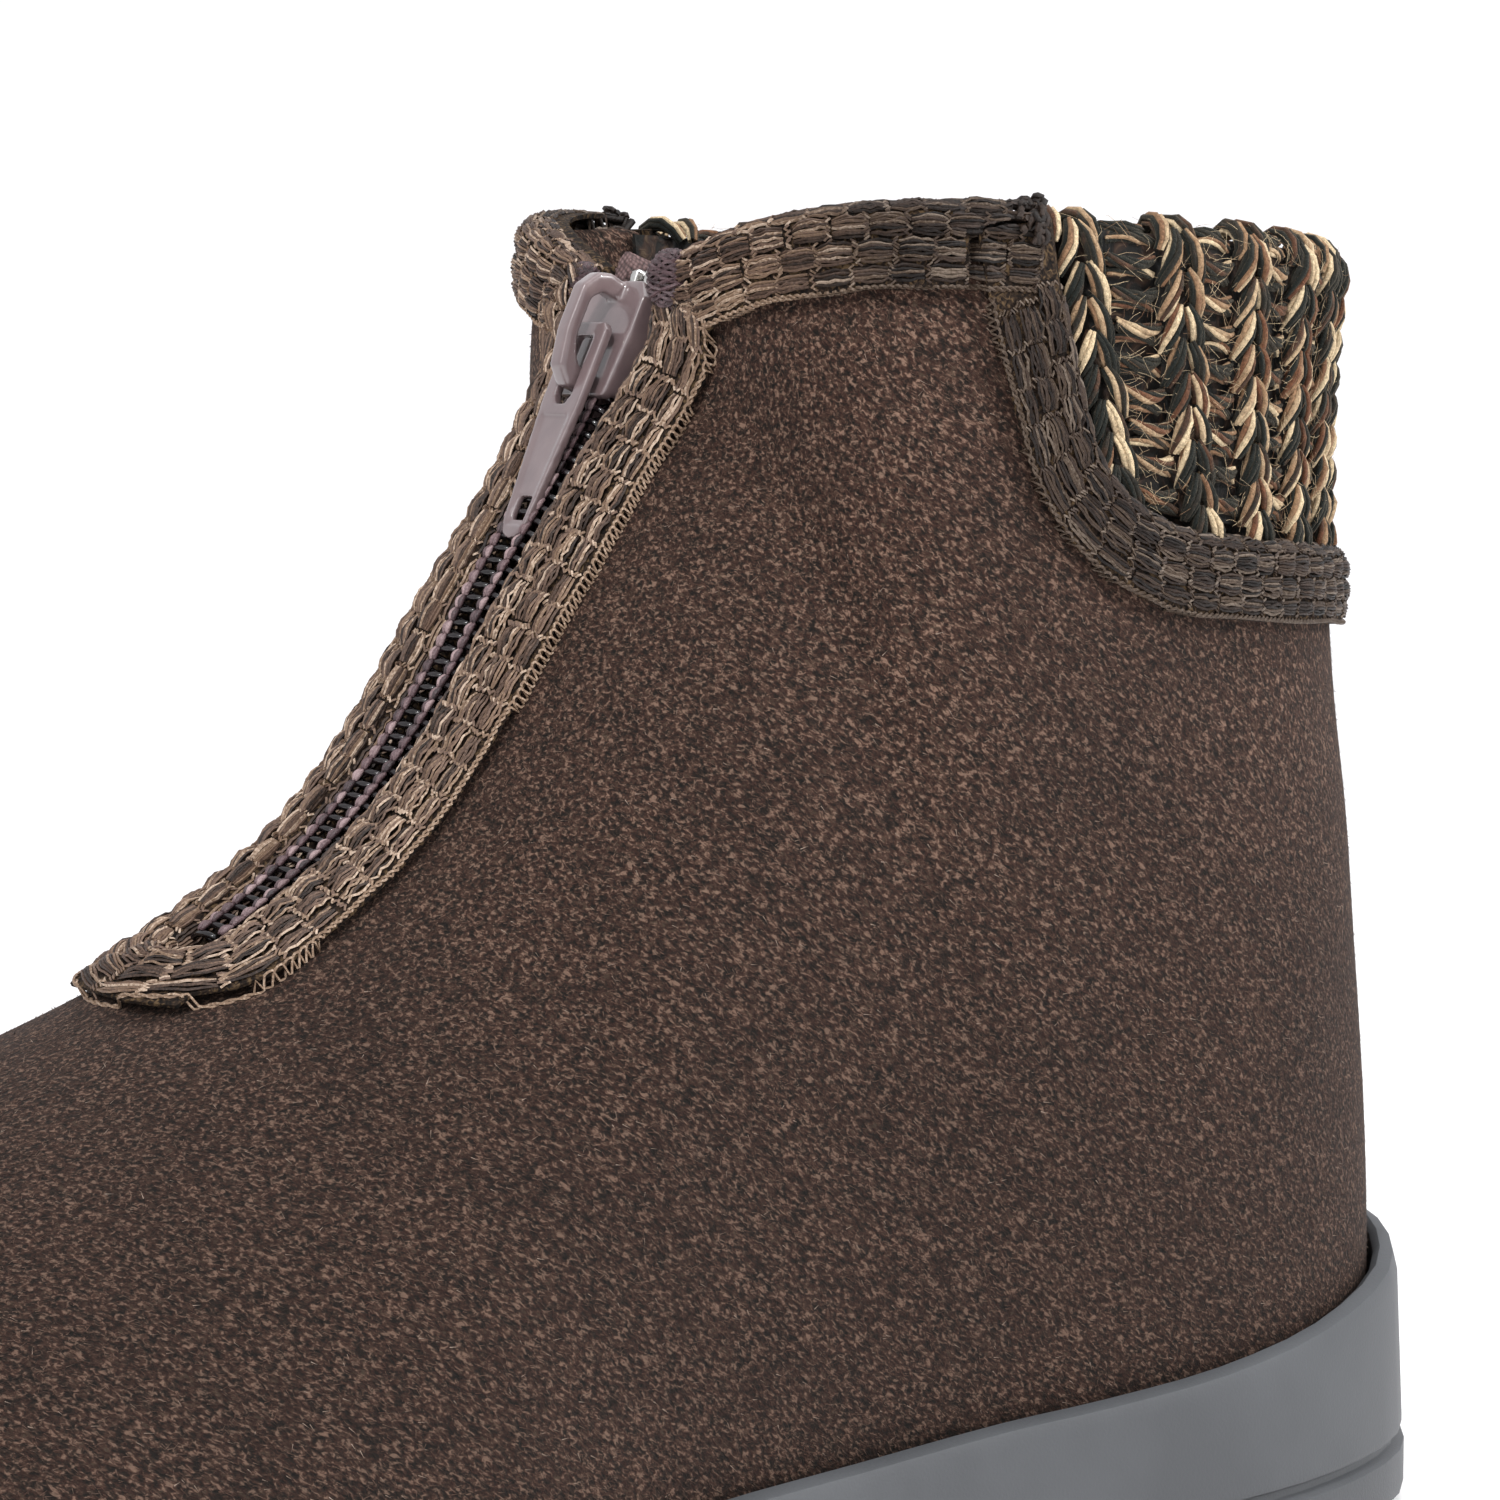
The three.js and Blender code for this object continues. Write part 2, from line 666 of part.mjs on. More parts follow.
// Half length of the window round the collar, measured along the felt's edge
function knitReach() {
  let length = 0;
  for (let i = 0; i < 20; i += 1) {
    const here = facePoint(knitPlace(i / 20, 0), 0);
    length += here.distanceTo(facePoint(knitPlace((i + 1) / 20, 0), 0));
  }
  return length;
}
const KNIT_REACH = knitReach();

// Depth of the window's lower edge, rounded at its corners
function knitEdgeDepth(across, inset) {
  const corner = KNIT_CORNER - inset;
  const past = Math.max(0, Math.abs(across) * KNIT_REACH - (KNIT_REACH - KNIT_CORNER));
  return KNIT_DEPTH - inset - corner + Math.sqrt(Math.max(0, corner * corner - past * past));
}

// A patch of the wall inside the window, between two lifts from the felt's face
function windowPatch({ inset, above, inside, outside, columns, rows }) {
  const limit = (KNIT_REACH - inset) / KNIT_REACH;
  const places = [];
  const cornerPart = (KNIT_CORNER - inset) / KNIT_REACH;
  for (let i = 0; i <= 6; i += 1) {
    places.push(limit - cornerPart * (1 - Math.sin(radians(90 - i * 15))));
  }
  const straight = places[places.length - 1];
  for (let i = 1; i < columns; i += 1) places.push(straight * (1 - i / columns));
  const across = [...places, 0, ...places.slice().reverse().map((place) => -place)];
  const points = [];
  for (const place of across) {
    for (let j = 0; j <= rows; j += 1) {
      const depth = -above + (knitEdgeDepth(place, inset) + above) * (j / rows);
      const on = knitPlace(place, depth);
      points.push(facePoint(on, outside), facePoint(on, inside));
    }
  }
  const size = 2 * (rows + 1);
  const triangles = [];
  const quad = (a, b, c, d) => triangles.push([a, b, c], [a, c, d]);
  for (let i = 0; i < across.length - 1; i += 1) {
    const here = i * size;
    const next = here + size;
    for (let j = 0; j < rows; j += 1) {
      const row = 2 * j;
      quad(here + row, next + row, next + row + 2, here + row + 2);
      quad(here + row + 3, next + row + 3, next + row + 1, here + row + 1);
    }
    quad(here, here + 1, next + 1, next);
    quad(here + size - 1, here + size - 2, next + size - 2, next + size - 1);
  }
  const end = (across.length - 1) * size;
  for (let j = 0; j < rows; j += 1) {
    const row = 2 * j;
    quad(row + 2, row + 3, row + 1, row);
    quad(end + row, end + row + 1, end + row + 3, end + row + 2);
  }
  return solidFromTriangles(points, triangles);
}

// Sole

function upperPlaceAtHeight(side, u, z) {
  let low = 0;
  let high = 0.6;
  for (let pass = 0; pass < 24; pass += 1) {
    const middle = (low + high) / 2;
    if (lastPoint(side, u, middle).z < z) low = middle;
    else high = middle;
  }
  return lastPoint(side, u, low);
}

function soleRing(side, u) {
  const { normal, rim } = outline(side, u);
  const edge = outline(side, u, SOLE_PROFILE[0].out);
  const levels = { floor: cupFloor(edge.x), rim, tread: ground(edge.x) };
  levels.half = (levels.floor + levels.rim) / 2;
  return SOLE_PROFILE.map(({ beside, out, up }) => {
    const z = levels[beside] + up;
    if (beside === 'floor' || beside === 'tread') {
      const { x, y } = outline(side, u, out);
      return new THREE.Vector3(x, y, z);
    }
    const point = upperPlaceAtHeight(side, u, z);
    point.x += normal.x * out;
    point.y += normal.y * out;
    return point;
  });
}

function outsole() {
  const rings = footColumns().map(({ side, u }) => soleRing(side, u));
  let solid = toManifold(ladderSolid(rings));
  for (const groove of treadGrooves()) solid = solid.subtract(groove);
  return fromManifold(solid);
}

// Columns round the foot, without the extra ones at the zip
function footColumns() {
  return upperColumns().filter(({ u }) => Number.isInteger(Math.round(u * 300) / 100));
}

// Grooves across the tread: one long bar each, turned to the slope of the toe.
function treadGrooves() {
  return TREAD_GROOVES.map(({ x, left, right, tilt }) => {
    const bar = new THREE.BoxGeometry(GROOVE_WIDTH, left - right, GROOVE_DEPTH * 2);
    const slope = Math.atan2(ground(x + 2) - ground(x - 2), 4);
    bar.rotateY(-slope);
    bar.rotateZ(radians(tilt));
    bar.translate(x, (left + right) / 2, ground(x));
    return toManifold(welded(bar));
  });
}

function welded(geometry) {
  geometry.deleteAttribute('normal');
  geometry.deleteAttribute('uv');
  return mergeVertices(geometry, 1e-4);
}

// Insole: lies in the upper, on the cup's floor
function insole() {
  const rings = footColumns().map(({ side, u }) => {
    const point = (inset, lift) => {
      const { x, y } = outline(side, u, -inset);
      return new THREE.Vector3(x, y, cupFloor(x) + GAP + lift);
    };
    return [
      point(WALL + GAP * 2, 0),
      point(WALL + GAP * 3, INSOLE_THICKNESS - 1.2),
      point(WALL + 2.4, INSOLE_THICKNESS),
    ];
  });
  return ladderSolid(rings);
}

// A flat solid of rings round the foot, closed below and above by cross strips.
function ladderSolid(rings) {
  const size = rings[0].length;
  const count = rings.length;
  const triangles = [];
  for (let c = 0; c < count; c += 1) {
    const next = (c + 1) % count;
    for (let r = 0; r < size - 1; r += 1) {
      triangles.push([c * size + r, next * size + r, next * size + r + 1]);
      triangles.push([c * size + r, next * size + r + 1, c * size + r + 1]);
    }
  }
  for (const [row, flip] of [[0, false], [size - 1, true]]) {
    for (let c = 0; c < count / 2; c += 1) {
      const corners = [c, c + 1, (count - c - 1) % count, (count - c) % count];
      const [a, b, d, e] = corners.map((column) => column * size + row);
      for (const face of [[a, e, d], [a, d, b]]) triangles.push(flip ? face.reverse() : face);
    }
  }
  return solidFromTriangles(rings.flat(), triangles);
}

const boot = new THREE.Group();

function addPiece(name, geometry, finish) {
  const mesh = new THREE.Mesh(geometry, new THREE.MeshStandardMaterial(finish));
  mesh.name = name;
  boot.add(mesh);
  return mesh;
}

function feltWithWindow() {
  const window = windowPatch({ inset: 0, above: 4, inside: -7, outside: 5, columns: 12, rows: 5 });
  return fromManifold(toManifold(feltShell()).subtract(toManifold(window)));
}

// Station on the collar, a distance in front of the knit's window
function stationBeforeKnit(distance) {
  const start = stationOfTop(2 + KNIT_START_ANGLE / 180);
  const edge = upperPoint(1, start, 1);
  let u = start;
  while (upperPoint(1, u, 1).distanceTo(edge) < distance) u -= 0.01;
  return u;
}

// The knit: the part that shows, and its margin sewn behind the felt
function knitPanel() {
  const inside = -KNIT_RECESS - KNIT_THICKNESS;
  const behindFelt = -WALL - 2 * GAP;
  const size = { above: 0, columns: 14, rows: 4 };
  const shown = windowPatch({
    ...size, inset: 4 * GAP + TAPE_FOLD, outside: -KNIT_RECESS, inside: behindFelt - 0.4,
  });
  const margin = windowPatch({ ...size, inset: -KNIT_SEAM, outside: behindFelt, inside });
  return fromManifold(toManifold(shown).add(toManifold(margin)));
}

// The binding that goes round the collar's front, down the zip and back up
function frontBinding() {
  const end = stationBeforeKnit(TAPE_WIDTH + 1.5 * GAP);
  const corner = cornerStation();
  const places = [];
  for (let i = 0; i <= 10; i += 1) places.push(end + (corner - end) * (i / 10));
  const round = stationOfTop(throatTop(90));
  for (let i = 1; i <= 22; i += 1) places.push(corner + (round - corner) * (i / 22));
  for (const angle of [72, 54, 36, 18]) places.push(stationOfTop(throatTop(angle)));
  const outer = places.map((u) => ({ side: 1, u, v: 1 }));
  const inner = places.slice().reverse().map((u) => ({ side: -1, u, v: 1 }));
  return foldedTape([...outer, { side: 1, u: THROAT_STATION, v: 1 }, ...inner], -1);
}

// The binding round the knit's window
function knitBinding() {
  const path = [];
  const legs = [0, 0.25, 0.5, 0.75];
  const corner = KNIT_CORNER / KNIT_REACH;
  for (const part of legs) path.push(knitPlace(1, part * (KNIT_DEPTH - KNIT_CORNER)));
  for (let i = 0; i <= 5; i += 1) {
    const angle = radians(i * 18);
    const across = 1 - corner * (1 - Math.cos(angle));
    path.push(knitPlace(across, KNIT_DEPTH - KNIT_CORNER * (1 - Math.sin(angle))));
  }
  for (let i = 1; i < 12; i += 1) path.push(knitPlace((1 - corner) * (1 - i / 12), KNIT_DEPTH));
  const inner = path.map(({ u, v }) => ({ side: -1, u, v })).reverse();
  return foldedTape([...path, knitPlace(0, KNIT_DEPTH), ...inner], 1);
}

addPiece('outsole', outsole(), SOLE);
addPiece('insole', insole(), FOOTBED);
addPiece('upper', feltWithWindow(), FELT);
addPiece('knit_panel', knitPanel(), KNIT);
addPiece('binding_front', frontBinding(), BRAID);
addPiece('binding_knit', knitBinding(), BRAID);

// Zip: its own directions, across (Y of the boot), up along the zip, and outwards
function zipAxes(top) {
  const here = frontPoint(top);
  const above = frontPoint(Math.min(2, top + 0.01));
  const below = frontPoint(top - 0.01);
  const along = new THREE.Vector3(above.x - below.x, 0, above.z - below.z).normalize();
  const across = new THREE.Vector3(0, 1, 0);
  const outwards = across.clone().cross(along);
  return { origin: new THREE.Vector3(here.x, 0, here.z), across, along, outwards };
}

// Place on the zip's line, by its distance down from the collar
function zipTopAt(distance) {
  let left = distance;
  let top = 2;
  while (left > 0 && top > 1) {
    const here = frontPoint(top);
    const next = frontPoint(top - 0.002);
    left -= Math.hypot(here.x - next.x, here.z - next.z);
    top -= 0.002;
  }
  return top;
}

function zipTopBeside(point) {
  let low = 1;
  let high = 2;
  for (let pass = 0; pass < 24; pass += 1) {
    const middle = (low + high) / 2;
    const { origin, along } = zipAxes(middle);
    if (point.clone().sub(origin).dot(along) > 0) low = middle;
    else high = middle;
  }
  return (low + high) / 2;
}

function zipPoint(top, across, lift) {
  const axes = zipAxes(top);
  return axes.origin.clone().addScaledVector(axes.across, across).addScaledVector(axes.outwards, lift);
}

// Two rows of interlocked coils, as one strip of that shape
function zipChain() {
  const from = zipTopAt(SLIDER_PLACE + SLIDER_LENGTH * 0.1);
  const to = 1 + THROAT_ROUND * 1.6;
  const low = ZIP_TAPE_FACE + GAP;
  const high = low + CHAIN_HEIGHT;
  const rings = [];
  for (let i = 0; i <= 30; i += 1) {
    const top = from + (to - from) * (i / 30);
    rings.push([
      zipPoint(top, -CHAIN_HALF_WIDTH, low),
      zipPoint(top, CHAIN_HALF_WIDTH, low),
      zipPoint(top, CHAIN_HALF_WIDTH, high - 0.8),
      zipPoint(top, CHAIN_HALF_WIDTH / 2, high),
      zipPoint(top, 0, high - 0.4),
      zipPoint(top, -CHAIN_HALF_WIDTH / 2, high),
      zipPoint(top, -CHAIN_HALF_WIDTH, high - 0.8),
    ]);
  }
  return loft(rings);
}

// One woven tape, sewn behind the felt's edge, with its folded upper end
function zipTape(side) {
  const start = stationOfTop(1 + THROAT_ROUND * 1.3);
  const end = cornerStation();
  const rings = [];
  for (let i = 0; i <= 16; i += 1) {
    const place = { side, u: start + (end - start) * (i / 16), v: 1 };
    const edge = facePoint(place, 0);
    const axes = zipAxes(zipTopBeside(edge));
    const away = faceAxes(side, place.u, 1).alongV.negate();
    away.addScaledVector(axes.along, -away.dot(axes.along));
    const under = walk(place, away, ZIP_TAPE_SEAM);
    const ring = [ZIP_TAPE_FACE, ZIP_TAPE_FACE - ZIP_TAPE_THICKNESS].map((lift) => [
      axes.origin.clone().addScaledVector(axes.across, side * 0.9).addScaledVector(axes.outwards, lift),
      facePoint(place, lift - GAP),
      facePoint(under, lift - 2 * GAP),
    ]);
    rings.push([...ring[0], ...ring[1].reverse()]);
  }
  const last = rings[rings.length - 1];
  const { along } = zipAxes(2);
  rings.push(last.map((point) => point.clone().addScaledVector(along, KNOB_FOOT + 1)));
  const knob = plate([
    [KNOB_INNER, KNOB_FOOT], [KNOB_OUTER, KNOB_FOOT], [KNOB_OUTER, KNOB_TOP - 0.9],
    [KNOB_OUTER - 0.6, KNOB_TOP], [KNOB_INNER + 0.6, KNOB_TOP], [KNOB_INNER, KNOB_TOP - 0.9],
  ].map(([x, y]) => [side * x, y]), ZIP_TAPE_FACE - ZIP_TAPE_THICKNESS, ZIP_TAPE_FACE + KNOB_THICKNESS);
  knob.applyMatrix4(axesMatrix(zipAxes(2)));
  const tape = toManifold(loft(rings)).add(toManifold(welded(knob)));
  return fromManifold(tape);
}

function axesMatrix({ origin, across, along, outwards }) {
  return new THREE.Matrix4().makeBasis(across, along, outwards).setPosition(origin);
}

function plate(outlinePoints, from, to, holes = []) {
  const points = outlinePoints.map(([x, y]) => new THREE.Vector2(x, y));
  if (THREE.ShapeUtils.isClockWise(points)) points.reverse();
  const shape = new THREE.Shape(points);
  for (const hole of holes) {
    shape.holes.push(new THREE.Path(hole.map(([x, y]) => new THREE.Vector2(x, y))));
  }
  const geometry = new THREE.ExtrudeGeometry(shape, { depth: to - from, bevelEnabled: false });
  return geometry.translate(0, 0, from);
}

// Slider: face plate with side walls, back plate, post between the tapes, and the
// bridge that holds the pull tab. It is built flat, then set on the zip.
function slider() {
  const half = SLIDER_LENGTH / 2;
  const wide = SLIDER_WIDTH / 2;
  const narrow = wide - SLIDER_TAPER;
  const inner = CHAIN_HALF_WIDTH + 1.2 * GAP;
  const shield = [
    [-narrow + 0.4, -half], [narrow - 0.4, -half], [narrow, -half + 0.6], [wide, 1], [wide, half - 1.8],
    [wide - 1.4, half], [-wide + 1.4, half], [-wide, half - 1.8], [-wide, 1], [-narrow, -half + 0.6],
  ];
  const wall = [
    [inner, -half + 0.3], [narrow, -half + 0.6], [wide, 1], [wide, half - 2], [wide - 0.7, half - 2],
    [inner, 1],
  ];
  const mirrored = wall.map(([x, y]) => [-x, y]).reverse();
  const face = ZIP_TAPE_FACE + GAP + CHAIN_HEIGHT + 2 * GAP;
  const back = ZIP_TAPE_FACE - ZIP_TAPE_THICKNESS - 1.4;
  const bridge = [
    [-half + 0.1, 0], [-half, 2.6], [-half + 1.5, 4.2], [-1, BRIDGE_HEIGHT], [half - 2.6, BRIDGE_HEIGHT],
    [half - 0.8, BRIDGE_HEIGHT - 1.2], [half - 0.2, 2.2], [half - 0.4, 0],
  ].map(([y, z]) => [y, z + face + 0.9]);
  const window = [[-3.9, 0.3], [-3.9, 2], [-2.6, 2.9], [-1, 3.4], [2.8, 3.4], [3.9, 2.4], [3.9, 0.3]]
    .map(([y, z]) => [y, z + face + 0.9]);
  const arch = plate(bridge, -1.05, 1.05, [window]);
  const sideways = [new THREE.Vector3(0, 1, 0), UP, new THREE.Vector3(1, 0, 0)];
  arch.applyMatrix4(new THREE.Matrix4().makeBasis(...sideways));
  const pieces = [
    plate(shield, face, face + SLIDER_PLATE),
    plate(wall, ZIP_TAPE_FACE + 0.5, face + 0.2),
    plate(mirrored, ZIP_TAPE_FACE + 0.5, face + 0.2),
    plate([[-0.6, 2.2], [0.6, 2.2], [0.6, half - 1], [-0.6, half - 1]], back - 0.4, face + 0.2),
    plate(shield.map(([x, y]) => [x * 0.85, y * 0.95]), back - 1, back),
    arch,
  ].map((piece) => toManifold(welded(piece)));
  const solid = pieces.reduce((whole, piece) => whole.add(piece));
  return fromManifold(solid).applyMatrix4(axesMatrix(zipAxes(zipTopAt(SLIDER_PLACE))));
}

// Pull tab: a flat plate whose eye goes round the bridge. Its upper bar is the hinge.
function pullTab() {
  const end = -TAB_LENGTH;
  const outlinePoints = [[-2.4, 0.9], [2.4, 0.9], [TAB_HALF_WIDTH, 0.1], [TAB_HALF_WIDTH, -8]];
  for (let i = 0; i <= 6; i += 1) {
    const angle = radians(180 + i * 30);
    outlinePoints.push([-TAB_END_HALF_WIDTH * Math.cos(angle), end + 1.9 + 1.9 * Math.sin(angle)]);
  }
  outlinePoints.push([-TAB_HALF_WIDTH, -8], [-TAB_HALF_WIDTH, 0.1]);
  const eye = [[-1.4, -0.6], [-1.4, -7], [-0.7, -8], [0.7, -8], [1.4, -7], [1.4, -0.6]];
  const slot = [[-1.05, end + 4.6], [-1.05, end + 2.1], [1.05, end + 2.1], [1.05, end + 4.6]];
  const panel = [[-2.3, -9.2], [-1.35, end + 1.4], [1.35, end + 1.4], [2.3, -9.2]];
  const body = toManifold(welded(plate(outlinePoints, -TAB_THICKNESS / 2, TAB_THICKNESS / 2, [eye, slot])));
  const recess = toManifold(welded(plate(panel, TAB_THICKNESS / 2 - 0.25, TAB_THICKNESS)));
  const geometry = fromManifold(body.subtract(recess));
  geometry.rotateX(radians(-TAB_LIFT_ANGLE));
  geometry.translate(0, 0, PIVOT_LIFT);
  return geometry.applyMatrix4(axesMatrix(zipAxes(zipTopAt(SLIDER_PLACE))));
}

function topStop(side) {
  const clip = new THREE.BoxGeometry(1.2, 2, 1.7);
  clip.translate(side * 1.25, STOP_RISE, ZIP_TAPE_FACE + GAP + 0.85);
  return welded(clip).applyMatrix4(axesMatrix(zipAxes(2)));
}

addPiece('zip_chain', zipChain(), COIL);
for (const [name, side] of [['outer', 1], ['inner', -1]]) {
  addPiece(`zip_tape_${name}`, zipTape(side), ZIP_CLOTH);
  addPiece(`top_stop_${name}`, topStop(side), SILVER);
}
addPiece('zip_slider', slider(), PAINTED_METAL);
addPiece('pull_tab', pullTab(), PAINTED_METAL);

// The boot's origin: middle of its bounding box, at the floor
const box = new THREE.Box3().setFromObject(boot);
const middle = box.getCenter(new THREE.Vector3());
boot.position.set(-middle.x, -middle.y, -box.min.z);

export default boot;
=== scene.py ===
import math

import bpy
import numpy as np
from mathutils import Matrix, Vector
from mathutils.bvhtree import BVHTree


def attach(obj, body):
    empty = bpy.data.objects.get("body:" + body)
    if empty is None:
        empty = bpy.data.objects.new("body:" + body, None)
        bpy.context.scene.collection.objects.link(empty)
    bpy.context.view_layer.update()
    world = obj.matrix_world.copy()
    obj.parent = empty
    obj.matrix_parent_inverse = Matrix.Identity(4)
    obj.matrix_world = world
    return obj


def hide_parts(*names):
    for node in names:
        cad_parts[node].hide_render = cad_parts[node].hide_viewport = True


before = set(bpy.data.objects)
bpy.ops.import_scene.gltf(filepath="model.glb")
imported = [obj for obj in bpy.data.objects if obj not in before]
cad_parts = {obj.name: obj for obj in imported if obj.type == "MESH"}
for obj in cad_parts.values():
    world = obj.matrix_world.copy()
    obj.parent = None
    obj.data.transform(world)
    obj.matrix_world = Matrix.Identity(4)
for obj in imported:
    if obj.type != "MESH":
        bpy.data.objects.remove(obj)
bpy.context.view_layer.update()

# Camera. The photograph is a close view of the ankle, from the outer side and
# a little from the front, with the toe to the left, at about the collar's height.

swing = math.radians(36.996)
rise = math.radians(5.7)
roll = math.radians(0.132)
aim = Vector((-0.038106, 0.022, 0.087288))
distance = 0.42
back = Vector((math.sin(swing) * math.cos(rise), math.cos(swing) * math.cos(rise), math.sin(rise)))
level = (-back).cross(Vector((0, 0, 1))).normalized()
upright = level.cross(-back)
rolled_right = level * math.cos(roll) + upright * math.sin(roll)
rolled_up = upright * math.cos(roll) - level * math.sin(roll)

bpy.ops.object.select_all(action="DESELECT")
bpy.ops.object.camera_add(location=aim + back * distance)
camera = bpy.context.object
camera.data.sensor_width = 36
camera.data.lens = 103.94
camera.data.clip_start = 0.01
camera.rotation_mode = "QUATERNION"
axes = np.array([rolled_right, rolled_up, back]).T.tolist()
camera.rotation_quaternion = Matrix(axes).to_quaternion()
bpy.context.scene.camera = camera


# Floor and light. A white sheet of photographer's card lies under the boot and
# curves up behind it. Three large soft lamps and a white room light it,
# and two narrow lamps give the zip its small glints.


def linear(code):
    parts = [int(code[i : i + 2], 16) / 255 for i in (1, 3, 5)]
    return (*[c / 12.92 if c <= 0.04045 else ((c + 0.055) / 1.055) ** 2.4 for c in parts], 1)


def new_finish(name):
    material = bpy.data.materials.new(name)
    material.use_nodes = True
    return material, material.node_tree, material.node_tree.nodes["Principled BSDF"]


def connect(tree, node, links):
    for socket, value in links.items():
        if isinstance(value, bpy.types.NodeSocket):
            tree.links.new(value, node.inputs[socket])
        else:
            node.inputs[socket].default_value = value


def add(tree, kind, links=None, **settings):
    made = tree.nodes.new("ShaderNode" + kind)
    for name, value in settings.items():
        setattr(made, name, value)
    connect(tree, made, links or {})
    return made


def noise(tree, place, scale, detail, **more):
    links = {"Vector": place, "Scale": scale, "Detail": detail} | more
    return add(tree, "TexNoise", links).outputs["Fac"]


def ramp(tree, value, stops):
    made = add(tree, "ValToRGB", {"Fac": value})
    elements = made.color_ramp.elements
    for number, (position, code) in enumerate(stops):
        stop = elements[number] if number < len(elements) else elements.new(position)
        stop.position = position
        stop.color = linear(code)
    return made.outputs["Color"]


CARD_SIZE = 3.0
CARD_RISE = (0, -0.6, 2.4)
CARD_BEND = 0.8
bpy.ops.object.select_all(action="DESELECT")
bpy.ops.mesh.primitive_plane_add(size=CARD_SIZE, location=(0, 0, 0))
card = bpy.context.object
card.name = "white_card"
bpy.ops.object.mode_set(mode="EDIT")
bpy.ops.mesh.select_mode(type="EDGE")
bpy.ops.mesh.select_all(action="DESELECT")
bpy.ops.object.mode_set(mode="OBJECT")


def edit_back_edge(operation, **settings):
    """Run one mesh operation on the edge where the card leaves the floor."""
    for edge in card.data.edges:
        places = [card.data.vertices[i].co.y for i in edge.vertices]
        edge.select = all(abs(y + CARD_SIZE / 2) < 0.01 for y in places)
    bpy.ops.object.mode_set(mode="EDIT")
    operation(**settings)
    bpy.ops.object.mode_set(mode="OBJECT")


edit_back_edge(bpy.ops.mesh.extrude_region_move, TRANSFORM_OT_translate={"value": CARD_RISE})
edit_back_edge(bpy.ops.mesh.bevel, offset=CARD_BEND, segments=20)
bpy.ops.object.shade_smooth()
card.rotation_euler = (0, 0, -swing)

# Matt white card: pale and even, with the faint fibre clouds of thick paper
material, tree, shader = new_finish("matt_white_card")
coords = add(tree, "TexCoord").outputs["Object"]
clouds = noise(tree, coords, 40.0, 3.0)
tint = ramp(tree, clouds, [(0.3, "#faf9f8"), (0.7, "#fcfbfb")])
connect(tree, shader, {"Base Color": tint, "Roughness": 0.9})
card.data.materials.append(material)

world = bpy.data.worlds.new("white_room")
world.use_nodes = True
world.node_tree.nodes["Background"].inputs["Color"].default_value = linear("#fbfbff")
world.node_tree.nodes["Background"].inputs["Strength"].default_value = 0.92
bpy.context.scene.world = world
bpy.context.scene.view_settings.view_transform = "Standard"

# Lamps: name, place, size and watts
LAMPS = [
    ("top_lamp", -0.35, 0.25, 0.95, 0.8, 3.2),
    ("left_lamp", 0.75, 0.35, 0.55, 0.5, 1.5),
    ("right_lamp", -0.75, 0.75, 0.5, 0.5, 1.5),
    ("narrow_lamp", 0.35, 0.3, 0.6, 0.05, 2.8),
    ("narrow_side_lamp", -0.45, 0.55, 0.45, 0.04, 2.6),
]
for name, x, y, z, size, watts in LAMPS:
    bpy.ops.object.select_all(action="DESELECT")
    bpy.ops.object.light_add(type="AREA", location=(x, y, z))
    lamp = bpy.context.object
    lamp.name = name
    lamp.data.size = size
    lamp.data.energy = watts
    lamp.rotation_euler = (aim - lamp.location).to_track_quat("-Z", "Y").to_euler()


# Sole. One piece of moulded thermoplastic rubber with a raised rim, sidewall
# steps and cross grooves under it. The felt upper is cemented into its rim.

MERGE_WITHIN = 0.00002


def choose(piece):
    bpy.ops.object.select_all(action="DESELECT")
    bpy.context.view_layer.objects.active = piece
    piece.select_set(True)


def merged_copy(node, name):
    piece = bpy.data.objects.new(name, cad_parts[node].data.copy())
    bpy.context.scene.collection.objects.link(piece)
    choose(piece)
    piece.data.materials.clear()
    bpy.ops.mesh.customdata_custom_splitnormals_clear()
    bpy.ops.object.mode_set(mode="EDIT")
    bpy.ops.mesh.select_all(action="SELECT")
    bpy.ops.mesh.remove_doubles(threshold=MERGE_WITHIN)
    bpy.ops.object.mode_set(mode="OBJECT")
    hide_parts(node)
    return piece


def finish_modifier(piece, kind, **settings):
    choose(piece)
    modifier = piece.modifiers.new(kind.lower(), kind)
    for name, value in settings.items():
        setattr(modifier, name, value)
    bpy.ops.object.modifier_apply(modifier=modifier.name)


def rounded(piece, width, angle, segments=2):
    settings = {"limit_method": "ANGLE", "angle_limit": math.radians(angle)}
    finish_modifier(piece, "BEVEL", width=width, segments=segments, **settings)


def settle(piece, material, body, angle):
    """Smooth faces up to this angle, one finish, and the body of the piece."""
    choose(piece)
    bpy.ops.object.shade_smooth_by_angle(angle=math.radians(angle))
    piece.data.materials.append(material)
    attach(piece, body)


sole = merged_copy("outsole", "rubber_sole")
rounded(sole, 0.0005, 38)


def mapped(tree, value, low, high, to_low, to_high):
    links = {"Value": value, "From Min": low, "From Max": high, "To Min": to_low, "To Max": to_high}
    return add(tree, "MapRange", links).outputs["Result"]


def relief(tree, shader, height, strength, distance, **settings):
    links = {"Height": height, "Strength": strength, "Distance": distance}
    bump = add(tree, "Bump", links, **settings)
    connect(tree, shader, {"Normal": bump.outputs["Normal"]})


